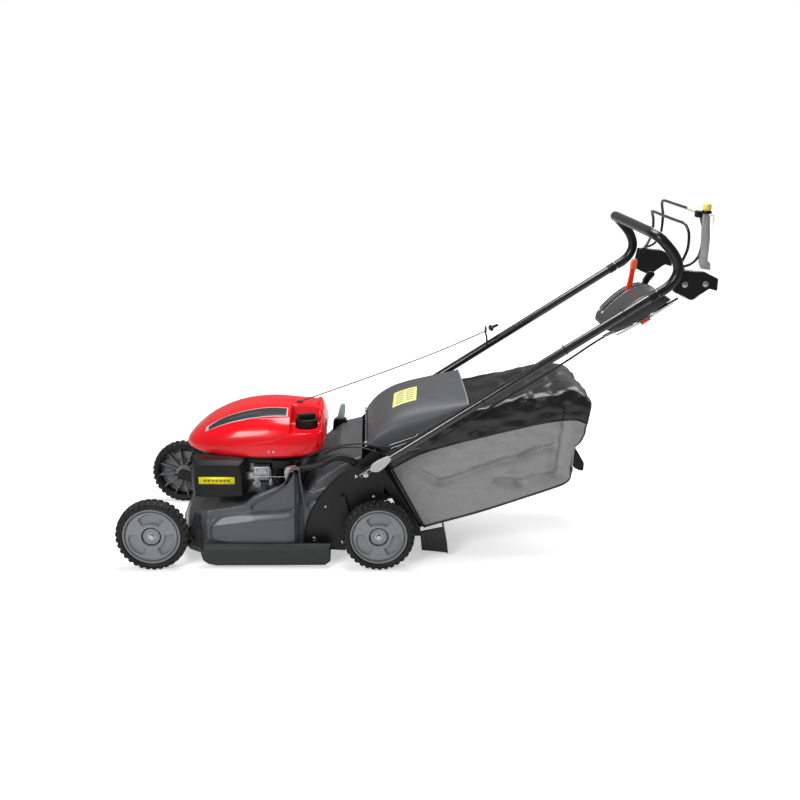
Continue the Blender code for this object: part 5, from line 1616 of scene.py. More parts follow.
    def skirt(self, side: Side) -> bpy.types.Object:
        """The side skirt: its outline lofted outwards through rings, the upper edge falling in a chamfer."""
        outline = np.array([
            (-0.594, 0.060), (-0.592, 0.040), (-0.588, 0.023), (-0.574, 0.0125),
            (-0.552, 0.008), (-0.400, 0.0085), (-0.235, 0.0095), (-0.2235, 0.018),
            (-0.222, 0.050), (-0.2225, 0.0715), (-0.400, 0.0715), (-0.584, 0.0715),
        ])
        centre = np.array([-0.40, 0.038])
        rings = []
        for y, inset in ((0.2505, 0.0), (0.2590, 0.0), (0.2605, 0.001), (0.2680, 0.0095), (0.2700, 0.0120)):
            ring = outline.copy()
            ring[:, 1] = np.where(ring[:, 1] > 0.055, ring[:, 1] - inset, ring[:, 1] + inset * 0.12)
            ahead = centre[0] - ring[:, 0]
            ring[:, 0] += np.sign(ahead) * inset * 0.35 * (np.abs(ahead) > 0.1)
            rings.append(np.stack([ring[:, 0], np.full(len(ring), y * side.value), ring[:, 1]], -1))
        count = len(outline)
        caps = np.stack([np.arange(count), np.arange(count)[::-1] + 4 * count])
        made = new_mesh(f"skirt_{side.word}", np.array(rings), [grid_faces(5, count, False, True), caps])
        weld(made)
        outward(made)
        add_bevel(made, 0.0012, 2)
        return smooth(made, 30)

    def quadrant(self, side: Side) -> bpy.types.Object:
        """The front height plate: a toothed sector, whose edge steps in and out behind the wheel."""
        teeth = []
        for index in range(7):
            turn = math.radians(64 + 17 * index)
            for offset, radius in ((-0.07, 0.055), (-0.03, 0.0600), (0.03, 0.0600), (0.07, 0.055)):
                teeth.append((-0.632 + radius * math.cos(turn - math.pi / 2 + offset),
                    0.066 + 0.9 * radius * math.sin(turn - math.pi / 2 + offset)))
        outline = [(-0.645, 0.056), *[(x, max(z, 0.041)) for x, z in teeth if z < 0.120], (-0.645, 0.090)]
        low, high = sorted((side.value * 0.2175, side.value * 0.2215))
        return prism(f"height_teeth_{side.word}", outline, low, high, 0.0006)

    def plate_trim(self, side: Side) -> bpy.types.Object:
        """The folded edge of the steel side plate: a thin rounded flange along its front and upper edge."""
        edge = np.array([(-0.299, 0.040), (-0.2995, 0.070), (-0.2935, 0.110), (-0.285, 0.140),
            (-0.270, 0.175), (-0.252, 0.205), (-0.226, 0.236),
                         (-0.197, 0.264), (-0.172, 0.282), (-0.149, 0.294), (-0.128, 0.315),
                         (-0.106, 0.336)])
        line = catmull(edge, 5)
        path = np.stack([line[:, 0], np.full(len(line), side.value * 0.2180), line[:, 1]], -1)
        return tube(f"plate_edge_{side.word}", path, 0.0040, 10, 0.55)

    def fasteners(self, side: Side) -> bpy.types.Object:
        """Rivets and bolts on the side plate."""
        parts = []
        sign = side.value
        for x, z, radius in ((-0.271, 0.070, 0.0060), (-0.150, 0.262, 0.0048), (-0.238, 0.170, 0.0036),
            (-0.100, 0.200, 0.0042), (-0.190, 0.060, 0.0042)):
            outline = [(0, 0.2215 * sign), (radius * 0.7, 0.2212 * sign), (radius, 0.2202 * sign),
                (radius, 0.2180 * sign), (0, 0.2180 * sign)]
            parts.append(turned("rivet", outline, (x, 0, z), "y", 24))
        return merged(f"plate_rivets_{side.word}", parts)

    def carry_tube(self) -> list[bpy.types.Object]:
        """The lifting tube from the tower to the plate, with its flattened silver end."""
        route = np.array([(-0.330, -0.212, 0.270), (-0.306, -0.200, 0.277), (-0.254, -0.200, 0.291),
            (-0.226, -0.200, 0.307), (-0.197, -0.200, 0.313),
                          (-0.169, -0.200, 0.306), (-0.146, -0.200, 0.287)])
        bar = tube("carry_tube_bent", catmull(route, 8), 0.0100, 24)
        clamp = prism("tower_clamp", [(-0.356, 0.276), (-0.352, 0.246), (-0.345, 0.246), (-0.343, 0.268),
            (-0.322, 0.2790), (-0.322, 0.2880), (-0.350, 0.2835)],
                      -0.2160, -0.1960, 0.0022)
        return [bar, clamp]

    def tower(self) -> bpy.types.Object:
        """The raised tower on the near shoulder that holds the tube's end: three outlines lofted across."""
        outline = catmull(np.array([(-0.447, 0.170), (-0.446, 0.183), (-0.400, 0.212), (-0.360, 0.240),
            (-0.345, 0.262), (-0.334, 0.289), (-0.313, 0.289),
                                    (-0.309, 0.262), (-0.300, 0.205), (-0.296, 0.172)]), 4)
        rings = [np.stack([outline[:, 0] + shift, np.full(len(outline), y), outline[:, 1] - drop], -1)
                 for y, drop, shift in ((-0.234, 0.006, 0.0), (-0.2365, 0.002, 0.0), (-0.2345, 0.0, 0.0),
                     (-0.2180, 0.0, 0.0), (-0.2120, 0.003, 0.0))]
        return walled(outward_up(surface("tube_tower", np.array(rings))), 0.0025)

    def build(self, shop: Workshop) -> None:
        """Builds the deck's pieces on the chassis."""
        shop.fit(self.shell(), "deck_grey", "chassis", "deck_shell")
        shop.fit(self.tower(), "deck_grey", "chassis")
        bar, clamp = self.carry_tube()
        shop.fit(bar, "black_paint", "chassis", "carry_tube")
        shop.fit(clamp, "cast_alloy", "chassis")
        for side in Side:
            shop.fit(self.skirt(side), "deck_grey", "chassis", f"side_skirt_{side.word}", look="skirt_grey")
            shop.fit(self.quadrant(side), "black_paint", "chassis", f"height_quadrant_{side.word}")
            shop.fit(self.plate_trim(side), "black_paint", "chassis")
            shop.fit(self.fasteners(side), "steel", "chassis")
            for end in ("front", "rear"):
                shop.paint(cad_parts[f"{end}_{side.word}_arm"], "black_paint")


# ----- Hood, flap and rear -----


@dataclass
class Hood:
    """The hood over the discharge: a moulded arch with a rim, label, hinge clips and spring rod."""

    arches: tuple = (
        (-0.119, 0.190, 0.343, 0.358, 5.0), (-0.098, 0.194, 0.340, 0.392, 4.6),
        (-0.070, 0.196, 0.338, 0.421, 4.2),
        (-0.035, 0.196, 0.345, 0.443, 4.0), (0.010, 0.196, 0.362, 0.459, 3.8),
        (0.060, 0.196, 0.392, 0.469, 3.8),
        (0.110, 0.196, 0.424, 0.476, 4.0), (0.164, 0.196, 0.458, 0.482, 4.2),
    )

    def point(self, x: Array, a: Array) -> Array:
        """The hood over x at angle a, 0 at the near edge and a half turn at the far one.

        It is an arch: y is half times cosine a, and z the edge plus the rise times sine a, each to the
            power 2 / squareness.
        """
        fine = catmull(np.array(self.arches), 12)
        half, edge, top, square = (np.interp(x, fine[:, 0], fine[:, k]) for k in range(1, 5))
        cos, sin = np.cos(a), np.clip(np.sin(a), 0, 1)
        y = -half * np.sign(cos) * np.abs(cos) ** (2 / square)
        lift = sin ** (2 / square)
        return np.stack(np.broadcast_arrays(x, y, edge + (top - edge) * lift), -1)

    def shell(self) -> bpy.types.Object:
        """The arch, its front edge rolled down to the hinge."""
        x = np.linspace(-0.119, 0.164, 110)
        turn = np.linspace(0, math.pi, 150)
        a = turn - 0.30 * np.sin(2 * turn) / 2
        grid = self.point(x[:, None], a[None, :])
        front = grid[:1].copy()
        front[..., 2] = np.minimum(front[..., 2], 0.344)
        front[..., 0] -= 0.001
        made = surface("hood_moulding", np.concatenate([front, grid]))
        return walled(outward_up(smooth(made, 50)), 0.003)

    def rim(self) -> bpy.types.Object:
        """The rolled rim along the rear edge, painted a lighter grey than the hood as a painted highlight.
        """
        turn = np.linspace(0.0, math.pi, 120)
        a = turn - 0.30 * np.sin(2 * turn) / 2
        return tube("hood_rear_rim", self.point(np.array(0.1640), a), 0.0024, 10)

    def label(self) -> bpy.types.Object:
        """The label: a patch of the arch, lifted off it."""
        x = np.linspace(-0.047, 0.022, 20)[:, None]
        y = np.linspace(-0.112, 0.020, 20)[None, :] + 0 * x
        a = np.arccos(np.clip(np.abs(y) / 0.196, 0, 1) ** (3.9 / 2))
        points = self.point(x + 0.06 * (y + 0.1), a)
        points[..., 1] = y
        normal = np.cross(np.gradient(points, axis=0), np.gradient(points, axis=1))
        normal /= np.linalg.norm(normal, axis=-1, keepdims=True)
        normal *= np.sign(normal[..., 2:3])
        made = surface("hood_label", points + normal * 0.0006)
        u, v = np.meshgrid(np.linspace(0, 1, 20), np.linspace(0, 1, 20), indexing="ij")
        uv_from_points(made, np.stack([u, v], -1))
        return walled(outward_up(made), 0.0004)

    def hinge(self) -> bpy.types.Object:
        """The hinge rod across the deck, with a clip at each side."""
        parts = [tube("rod", np.array([(-0.1235, -0.190, 0.3455), (-0.1235, 0.0, 0.3455),
            (-0.1235, 0.190, 0.3455)]), 0.0030, 12)]
        for side in Side:
            parts.append(block("clip", (-0.128, side.value * 0.165 - 0.006, 0.3405),
                (-0.1195, side.value * 0.165 + 0.006, 0.350), 0.0015))
        return merged("hood_hinge_rod", parts)

    def spring_rod(self) -> bpy.types.Object:
        """The hood's closing spring and its two rods along the near side."""
        parts = [
            tube("rod", catmull(np.array([(-0.052, -0.201, 0.340), (-0.040, -0.202, 0.3465),
                (0.020, -0.202, 0.3685), (0.032, -0.201, 0.378)]), 6), 0.0014, 8),
            tube("rod", catmull(np.array([(-0.058, -0.199, 0.348), (-0.045, -0.2005, 0.3545),
                (0.012, -0.2005, 0.3750), (0.024, -0.199, 0.385)]), 6), 0.0012, 8),
            spring("spring", (-0.040, -0.2025, 0.3445), (0.008, -0.2025, 0.3625), 0.0030, 16, 0.0006),
        ]
        return merged("hood_spring_rod", parts)

    def build(self, shop: Workshop) -> None:
        """Builds the hood on its own body."""
        shop.fit(self.shell(), "hood_grey", "hood", "hood")
        # The hood's own rim, in the lighter rim grey: a painted highlight along its edge.
        shop.fit(self.rim(), "hood_grey", "hood", look="rim_grey")
        shop.fit(self.label(), "yellow_plastic", "hood", look="hood_label")
        shop.fit(self.hinge(), "steel", "chassis")
        shop.fit(self.spring_rod(), "steel", "hood")


@dataclass
class RearFlap:
    """The rubber flap behind the deck, with ribs down its back and its two wings."""

    half_width: float = 0.194
    ribs: int = 17

    def back(self) -> bpy.types.Object:
        """The back panel, which stands out in vertical ribs by the sine of its place across, to a power."""
        y = np.linspace(-self.half_width + 0.001, self.half_width - 0.001, 290)[None, :]
        t = np.linspace(0, 1, 14)[:, None]
        line_x, line_z = 0.1045 + 0.0155 * t, 0.0965 - 0.0825 * t
        rib = np.abs(np.sin(np.pi * self.ribs * (y / self.half_width + 1) / 2)) ** 0.35
        x = line_x + 0.0025 * rib * np.sin(np.pi * np.clip(t * 1.1, 0, 1)) ** 0.5
        points = np.stack(np.broadcast_arrays(x, y, line_z), -1)
        made = surface("flap_back", points)
        return walled(facing(smooth(made, 60), (1, 0, 0)), 0.0035)

    def wing(self, side: Side) -> bpy.types.Object:
        """One wing: a quadrilateral between four corners, with five ribs down it."""
        u, v = np.linspace(0, 1, 70)[:, None], np.linspace(0, 1, 14)[None, :]
        low = np.array((0.042, 0.022)) * (1 - u)[..., None] + np.array((0.1205, 0.014)) * u[..., None]
        high = np.array((0.036, 0.082)) * (1 - u)[..., None] + np.array((0.1050, 0.0968)) * u[..., None]
        flat = low * (1 - v)[..., None] + high * v[..., None]
        rib = np.abs(np.sin(np.pi * 5 * u)) ** 0.4 * np.sin(np.pi * np.clip(v, 0, 1)) ** 0.4
        y = side.value * (self.half_width - 0.0035 + 0.0028 * rib)
        made = surface(f"flap_wing_{side.word}", np.stack([flat[..., 0], y, flat[..., 1]], -1))
        return walled(facing(smooth(made, 60), (0, side.value, 0)), 0.0035)

    def build(self, shop: Workshop) -> None:
        """Builds the flap on its own body."""
        shop.fit(merged("rear_flap_ribbed", [self.back(), *(self.wing(side) for side in Side)]),
            "soft_rubber", "flap", "rear_flap")
        for side in Side:
            bracket = prism(f"flap_bracket_{side.word}", [(-0.040, 0.075), (0.010, 0.080), (0.034, 0.094),
                (0.034, 0.082), (0.012, 0.066), (-0.036, 0.060)],
                            *sorted((side.value * 0.1965, side.value * 0.2005)), 0.001)
            shop.fit(bracket, "black_paint", "chassis")


@dataclass
class Selector:
    """The green lever on the tunnel and the boss that it stands in."""

    def build(self, shop: Workshop) -> None:
        """Builds the lever on its body and the boss on the chassis."""
        outline = catmull(np.array([(-0.217, 0.336), (-0.211, 0.352), (-0.208, 0.366), (-0.201, 0.3845),
            (-0.190, 0.3835), (-0.1885, 0.366), (-0.1905, 0.350), (-0.193, 0.336)]), 3)
        shop.fit(prism("selector_lever", outline.tolist(), 0.092, 0.108, 0.0035, rounds=4), "green_plastic",
            "selector", "blade_selector")
        boss = prism("selector_boss", [(-0.228, 0.300), (-0.182, 0.312), (-0.184, 0.3345), (-0.192, 0.3400),
            (-0.216, 0.3400), (-0.226, 0.330)], 0.086, 0.114, 0.003)
        shop.fit(boss, "black_plastic", "chassis")


# ----- Handle -----


@dataclass
class Handle:
    """The tubes, the grip loop, brackets, panel, levers, hoops and cables at the handle.

    Attributes:
        pivot: x and z of the fold.
        half_width: y of a tube.
        slope_end: x and z where the straight tubes end.
    """

    pivot: tuple[float, float] = (-0.123, 0.285)
    half_width: float = 0.250
    slope_end: tuple[float, float] = (0.664, 0.803)
    bracket: tuple = ((0.722, 0.861), (0.750, 0.8595), (0.794, 0.856), (0.828, 0.840), (0.828, 0.806),
        (0.806, 0.812), (0.785, 0.797),
                      (0.762, 0.779), (0.735, 0.789), (0.712, 0.801))
    dome: tuple = ((0.538, 0.691), (0.5395, 0.703), (0.546, 0.716), (0.562, 0.737), (0.585, 0.760),
        (0.609, 0.779), (0.630, 0.790), (0.651, 0.797),
                   (0.670, 0.7975), (0.688, 0.793), (0.707, 0.781))

    def on_tube(self, x: float, y: float) -> Point:
        """The point over x on the line of a tube."""
        slope = (self.slope_end[1] - self.pivot[1]) / (self.slope_end[0] - self.pivot[0])
        return (x, y, self.pivot[1] + slope * (x - self.pivot[0]))

    def tubes(self, shop: Workshop) -> None:
        """Both tubes, with the fold bolt and the cast fold latch at their lower ends."""
        for side in Side:
            y = side.value * self.half_width
            x = np.linspace(self.pivot[0] - 0.015, self.slope_end[0], 60)
            path = np.array([self.on_tube(v, y) for v in x])
            made = tube(f"handle_tube_{side.word}_drawn", path, 0.012, 28)
            shop.fit(made, "black_paint", "handle", f"handle_tube_{side.word}", look="tube_gloss")
            bolt = turned(f"fold_bolt_{side.word}", [(0, 0.2705), (0.0045, 0.2705), (0.0072, 0.2695),
                (0.0078, 0.2680), (0.0078, 0.2625), (0, 0.2625)]
                          if side.value > 0 else [(0, -0.2705), (0.0045, -0.2705), (0.0072, -0.2695),
                              (0.0078, -0.2680), (0.0078, -0.2625), (0, -0.2625)],
                          (self.pivot[0], 0, self.pivot[1]), "y", 24)
            shop.fit(bolt, "steel", "handle")
            latch = catmull(np.array([(-0.112, 0.300), (-0.110, 0.309), (-0.104, 0.318), (-0.084, 0.331),
                (-0.062, 0.3400), (-0.055, 0.337), (-0.054, 0.328), (-0.070, 0.308), (-0.088, 0.2945),
                (-0.104, 0.2945)]), 3, closed=True)
            low, high = sorted((side.value * 0.2625, side.value * 0.2710))
            shop.fit(prism(f"fold_latch_{side.word}_cast", latch.tolist(), low, high, 0.0026, rounds=4),
                "cast_alloy", f"latch_{side.word}", f"fold_latch_{side.word}", look="latch_silver")

    def grip(self) -> bpy.types.Object:
        """The sleeved loop: the near leg, the crossbar and the far leg on one smooth path."""
        leg = [(0.6645, 0.8034), (0.684, 0.816), (0.702, 0.836), (0.711, 0.862), (0.706, 0.888),
            (0.692, 0.912), (0.668, 0.938)]
        near = [(x, -self.half_width, z) for x, z in leg]
        near += [(0.655, -self.half_width + 0.006, 0.951), (0.645, -self.half_width + 0.020, 0.957),
            (0.641, -self.half_width + 0.045, 0.960)]
        cross = [(0.641, y, 0.960) for y in (-0.12, -0.04)]
        path = near + cross
        path += [(x, -y, z) for x, y, z in reversed(path)]
        return tube("grip_sleeve", catmull(np.array(path), 7), 0.0140, 28)

    def seams(self) -> bpy.types.Object:
        """The sleeve's end collars on both tubes."""
        parts = []
        slope = np.array([self.slope_end[0] - self.pivot[0], 0, self.slope_end[1] - self.pivot[1]])
        slope /= np.linalg.norm(slope)
        for side in Side:
            start = np.array(self.on_tube(0.640, side.value * self.half_width))
            parts.append(tube("collar", np.array([start + slope * t for t in np.linspace(0, 0.022, 4)]),
                0.0138, 24))
        return merged("grip_collars", parts)

    def brackets(self, shop: Workshop) -> None:
        """The control brackets, each with two bolts and a thin bright tube along its lower edge, which is a
        painted highlight.
        """
        for side in Side:
            low, high = sorted((side.value * 0.205, side.value * 0.2357))
            shop.fit(prism(f"bracket_{side.word}", list(self.bracket), low, high, 0.0035, rounds=4),
                "black_plastic", "handle", f"control_bracket_{side.word}")
            y = side.value * 0.2357
            bolts = []
            for x, z in ((0.737, 0.8235), (0.793, 0.8255)):
                outline = [(0, 0.0042), (0.0030, 0.0042), (0.0052, 0.0034), (0.0058, 0.0018),
                    (0.0082, 0.0014), (0.0084, 0), (0, 0)]
                outline = [(r, side.value * h) for r, h in outline]
                bolts.append(turned("bolt", outline, (x, y, z), "y", 24))
            shop.fit(merged(f"bracket_bolts_{side.word}", bolts), "steel", "handle")
            # A thin bright tube along the bracket's lower edge: a painted highlight.
            edge = catmull(np.array([(0.716, y, 0.800), (0.735, y, 0.7915), (0.760, y, 0.7815),
                (0.783, y, 0.798)]), 5)
            shop.fit(tube(f"bracket_edge_{side.word}", edge, 0.0011, 8), "steel", "handle",
                look="silver_film")

    def panel(self, shop: Workshop) -> None:
        """The lever panel: the dome's outline lofted through rings, smaller at both sides, so that its
        edges are round.
        """
        top = catmull(np.array(self.dome), 4)
        under = np.array([(0.700, 0.776), (0.640, 0.735), (0.590, 0.704), (0.555, 0.688)])
        outline = np.concatenate([top, catmull(under, 3)])
        centre = np.array([0.628, 0.744])
        rings = []
        for y, share in ((-0.2355, 0.55), (-0.2350, 0.80), (-0.2310, 0.93), (-0.2240, 0.985), (-0.2120, 1.0),
            (-0.065, 1.0), (-0.050, 0.975), (-0.0425, 0.90), (-0.040, 0.75), (-0.040, 0.0)):
            ring = centre + (outline - centre) * share
            rings.append(np.stack([ring[:, 0], np.full(len(ring), y), ring[:, 1]], -1))
        rings.insert(0, np.stack([np.full(len(outline), centre[0]), np.full(len(outline), -0.2355),
            np.full(len(outline), centre[1])], -1))
        made = surface("panel_dome", np.array(rings), close_columns=True)
        weld(made)
        shop.fit(outward(smooth(made, 45)), "black_plastic", "handle", "control_panel", look="panel_grey")
        for name, y, look, wide, lift in (("slot_rim_throttle", -0.100, "silver_film", 0.0085, 0.0006),
            ("slot_throttle", -0.100, "black_plastic", 0.0068, 0.0012),
                                          ("slot_rim_speed", -0.060, "silver_film", 0.0085, 0.0006),
                                          ("slot_speed", -0.060, "black_plastic", 0.0068, 0.0012)):
            line = catmull(np.array(self.dome[2:9]), 6)
            if "rim" not in name:
                line = line[2:-2]
            normal = np.stack([-np.gradient(line[:, 1]), np.gradient(line[:, 0])], -1)
            normal /= np.linalg.norm(normal, axis=1, keepdims=True)
            line = line + normal * lift
            grid = np.stack([np.stack([line[:, 0], np.full(len(line), y + s * wide), line[:, 1]],
                -1) for s in (-1, -0.5, 0, 0.5, 1)], 1)
            strip = surface(name, grid)
            uv_from_points(strip, np.stack([np.repeat(np.linspace(0, 1, len(line)), 5),
                np.tile(np.linspace(0, 1, 5), len(line))], -1))
            shop.fit(walled(outward_up(strip), 0.0006), "black_plastic", "handle", look=look)

    def levers(self, shop: Workshop) -> None:
        """The throttle lever with its lighter head, and the ribbed speed lever."""
        stem = [(0.609, 0.749), (0.625, 0.749), (0.627, 0.775), (0.6285, 0.800), (0.6355, 0.862),
            (0.633, 0.8700), (0.625, 0.8700), (0.6215, 0.862), (0.6175, 0.822), (0.612, 0.790)]
        shop.fit(prism("throttle_lever_moulded", stem, -0.1055, -0.0945, 0.0022, rounds=3), "orange_plastic",
            "throttle", "throttle_lever")
        head = [(0.6190, 0.845), (0.6355, 0.842), (0.6380, 0.866), (0.634, 0.8725), (0.625, 0.8725),
            (0.620, 0.864)]
        shop.fit(prism("throttle_head", head, -0.1080, -0.0920, 0.0030, rounds=3), "orange_plastic",
            "throttle", look="orange_pale")
        stem = [(0.657, 0.756), (0.671, 0.756), (0.678, 0.785), (0.688, 0.806), (0.702, 0.823),
            (0.698, 0.8305), (0.683, 0.8320), (0.672, 0.814), (0.664, 0.790)]
        parts = [prism("stem", stem, -0.0655, -0.0545, 0.0022)]
        for t in np.linspace(0.1, 0.9, 5):
            x, z = 0.6735 + 0.0195 * t, 0.800 + 0.0215 * t
            parts.append(prism("rib", [(x - 0.009, z + 0.0065), (x + 0.0085, z - 0.0045),
                (x + 0.0098, z - 0.0028), (x - 0.0078, z + 0.0082)], -0.0685, -0.0515, 0.0006))
        shop.fit(merged("speed_lever_ribbed", parts), "black_plastic", "speed", "speed_lever")

    def hoops(self, shop: Workshop) -> None:
        """Both hoops, the cast lever with its foot and wire clip, the button, sticker and release."""
        wide = self.half_width - 0.050
        leg = [(0.735, wide, 0.866), (0.758, wide, 0.874), (0.777, wide, 0.893), (0.784, wide, 0.920),
            (0.785, wide, 0.964), (0.779, wide - 0.004, 0.992),
               (0.776, wide - 0.014, 1.008), (0.778, wide - 0.035, 1.012), (0.778, 0.08, 1.012)]
        path = leg + [(x, -y, z) for x, y, z in reversed(leg)]
        shop.fit(tube("blade_hoop_bent", catmull(np.array(path), 6), 0.0040, 16), "black_paint",
            "blade_control", "blade_hoop", look="tube_gloss")
        inner = wide - 0.016
        leg = [(0.731, inner, 0.866), (0.742, inner, 0.885), (0.752, inner, 0.915), (0.752, inner, 0.952),
            (0.746, inner - 0.006, 0.972), (0.742, inner - 0.022, 0.980),
               (0.742, 0.07, 0.980)]
        path = leg + [(x, -y, z) for x, y, z in reversed(leg)]
        shop.fit(tube("drive_hoop_bent", catmull(np.array(path), 6), 0.0040, 16), "black_paint",
            "drive_control", "drive_hoop", look="tube_gloss")
        outline = [(0.7765, 0.882), (0.784, 0.8640), (0.810, 0.860), (0.8085, 0.878), (0.800, 0.886),
            (0.8010, 0.945), (0.795, 1.004), (0.7905, 1.012), (0.7765, 1.012), (0.7775, 0.960),
            (0.780, 0.905)]
        lever = prism("cast", outline, -0.2162, -0.2043, 0.0018)
        rib = prism("rib", [(0.7835, 0.896), (0.7955, 0.893), (0.7955, 0.945), (0.7905, 0.998),
            (0.7835, 0.998), (0.7832, 0.950)], -0.2175, -0.2155, 0.0008)
        shop.fit(merged("cast_lever_ribbed", [lever, rib]), "steel", "blade_control", "cast_lever",
            look="latch_silver")
        clip = catmull(np.array([(0.792, -0.2165, 1.004), (0.8015, -0.2180, 1.0085),
            (0.8045, -0.2180, 0.996), (0.8010, -0.2175, 0.978)]), 6)
        shop.fit(tube("lever_wire_clip", clip, 0.0009, 8), "steel", "blade_control")
        profile = [(0, 1.0195), (0.0095, 1.0195), (0.0108, 1.0205), (0.0112, 1.0225), (0.0112, 1.0335),
            (0.0098, 1.0372), (0.0060, 1.0390), (0, 1.0395)]
        shop.fit(turned("release_button", profile, (0.786, -0.210, 0.0), "z", 40), "yellow_plastic",
            "button", "safety_button")
        ring = [(0.0117, 1.0192), (0.0130, 1.0190), (0.0136, 1.0175), (0.0136, 1.0130), (0.0130, 1.0115),
            (0.0117, 1.0115), (0.0117, 1.0192)]
        seat = turned("seat", ring, (0.786, -0.210, 0.0), "z", 36)
        case = block("case", (0.765, -0.1965, 0.999), (0.792, -0.172, 1.0165), 0.0030)
        shop.fit(merged("release_seat", [seat, case]), "black_plastic", "blade_control")
        rolled = tube("hoop_sticker", np.array([(0.778, y, 1.012) for y in (-0.160, -0.130, -0.100,
            -0.075)]), 0.0047, 20)
        shop.fit(rolled, "yellow_plastic", "blade_control", look="cream_plain")
        pivots = []
        for side in Side:
            for x, z, y in ((0.735, 0.862, 0.200), (0.7305, 0.8615, 0.1845)):
                pivots.append(turned("eye", [(0, side.value * (y - 0.006)),
                    (0.0085, side.value * (y - 0.006)), (0.0085, side.value * (y + 0.004)),
                    (0, side.value * (y + 0.004))], (x, 0, z - 0.004), "y", 24))
        shop.fit(merged("hoop_pivots", pivots), "black_paint", "handle")

    def cables(self, shop: Workshop) -> None:
        """The cables along the near tube, their adjusters, ties, rods and springs."""
        y = -0.214
        route = [
            (0.728, y, 0.782), (0.683, y, 0.756), (0.651, y, 0.738), (0.590, y, 0.700), (0.524, y, 0.668),
            (0.416, y, 0.592), (0.280, y, 0.503), (0.160, y, 0.424), (0.060, y, 0.356),
        ]
        path = catmull(np.array(route), 10)
        upper = corded(tube("upper_cable_sleeved", path, 0.0030, 14), path)
        shop.fit(upper, "soft_rubber", "handle", "upper_cable")
        parts, springs = [], []
        for start, end, radius in (((0.700, 0.766), (0.662, 0.7445), 0.0044),
            ((0.646, 0.7345), (0.618, 0.7165), 0.0050), ((0.608, 0.710), (0.586, 0.698), 0.0038)):
            run = np.linspace((start[0], y, start[1]), (end[0], y, end[1]), 40)
            parts.append(tube("adjuster", run, radius * (1 - 0.13 * (np.arange(40) % 4 < 2)), 16))
        for offset, drop in ((-0.009, 0.004), (0.010, 0.007)):
            rod = [(0.715, y + offset, 0.776 - drop), (0.672, y + offset, 0.7465 - drop),
                (0.600, y + offset, 0.702 - drop), (0.565, y + offset, 0.683 - drop)]
            springs.append(tube("rod", catmull(np.array(rod), 6), 0.0013, 8))
            springs.append(spring("spring", (0.660, y + offset, 0.7395 - drop),
                (0.628, y + offset, 0.7195 - drop), 0.0036, 13, 0.0008))
        springs.append(spring("spring", (0.560, y, 0.690), (0.530, y, 0.6735), 0.0040, 14, 0.0009))
        shop.fit(merged("cable_adjusters", parts), "black_plastic", "handle")
        shop.fit(merged("cable_rods", springs), "steel", "handle")
        ties = []
        for x in (0.200, 0.420, 0.575):
            middle = np.array(self.on_tube(x, -self.half_width))
            turn = np.linspace(0, math.tau, 40, endpoint=False)
            across = np.array([-0.5495, 0, 0.8355])
            sideways = np.cos(turn)[:, None] * np.array([0, 1, 0])
            ring = middle + 0.0132 * (sideways + np.sin(turn)[:, None] * across)
            ring[:, 1] += 0.020 * smoothstep(0.2, 1.0, np.cos(turn))
            ties.append(tube("tie", np.concatenate([ring, ring[:1]]), 0.0014, 8))
        shop.fit(merged("cable_ties", ties), "black_plastic", "handle")
        stub = prism("stop_tab", [(0.626, 0.716), (0.650, 0.731), (0.654, 0.7255), (0.630, 0.7095)], -0.232,
            -0.224, 0.0016)
        shop.fit(stub, "orange_plastic", "handle")

    def starter(self, shop: Workshop) -> None:
        """The starter's rope, its guide on the far tube, and the T-shaped grip."""
        route = [(-0.323, 0.0, 0.4195), (-0.1785, 0.0575, 0.4580), (-0.034, 0.1150, 0.4975),
            (0.1105, 0.1750, 0.5400), (0.2540, 0.2295, 0.5905)]
        path = catmull(np.array(route), 24)
        rope = corded(tube("starter_rope_braided", path, 0.0017, 12), path)
        turn = np.linspace(0, math.tau, 33)
        foot = np.array(self.on_tube(0.262, 0.240))
        loop = np.array([(0.256, 0.240 + 0.0115 * math.cos(a - math.pi / 2),
            0.592 + 0.0115 * math.sin(a - math.pi / 2)) for a in turn])
        guide = merged("rope_guide_bent", [tube("post", catmull(np.array([foot, (0.260, 0.240, 0.570),
            (0.256, 0.240, 0.5805)]), 5), 0.0030, 12), tube("ring", loop, 0.0026, 12)])
        shop.fit(guide, "steel", "handle", "rope_guide", look="tube_gloss")
        bar = tube("bar", np.array([(0.272, v, 0.600) for v in np.linspace(0.211, 0.257, 9)]),
            0.0078 - 0.0014 * np.cos(np.linspace(-math.pi, math.pi, 9)) * -1 - 0.0008, 20)
        stem = tube("stem", np.array([(0.2735, 0.240, 0.600), (0.284, 0.240, 0.6045),
            (0.2955, 0.240, 0.6100)]), np.array([0.0058, 0.0050, 0.0040]), 16)
        grip = merged("pull_grip_moulded", [bar, stem])
        shop.fit(grip, "soft_rubber", "pull_grip", "starter_grip")
        shop.paint(rope, "starter_cord")
        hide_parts("starter_rope")
        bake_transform(rope)

    def lower_lines(self, shop: Workshop) -> None:
        """The cables that loop from the handle's foot to the engine."""
        routes = {
            "lower_cable_sleeved": ((0.030, -0.216, 0.345), (-0.041, -0.226, 0.332), (-0.090, -0.222, 0.352),
                (-0.140, -0.216, 0.360), (-0.225, -0.212, 0.345),
                                    (-0.300, -0.190, 0.306), (-0.345, -0.172, 0.268)),
            "drive_cable_sleeved": ((0.028, -0.208, 0.338), (-0.045, -0.214, 0.318), (-0.100, -0.212, 0.336),
                (-0.150, -0.204, 0.346), (-0.205, -0.196, 0.338),
                                    (-0.240, -0.180, 0.318)),
        }
        for name, route in routes.items():
            path = catmull(np.array(route), 10)
            cable = corded(tube(name, path, 0.0030 if "lower" in name else 0.0024, 14), path)
            nodes = ("lower_cable",) if "lower" in name else ()
            shop.fit(cable, "soft_rubber", "chassis", *nodes)

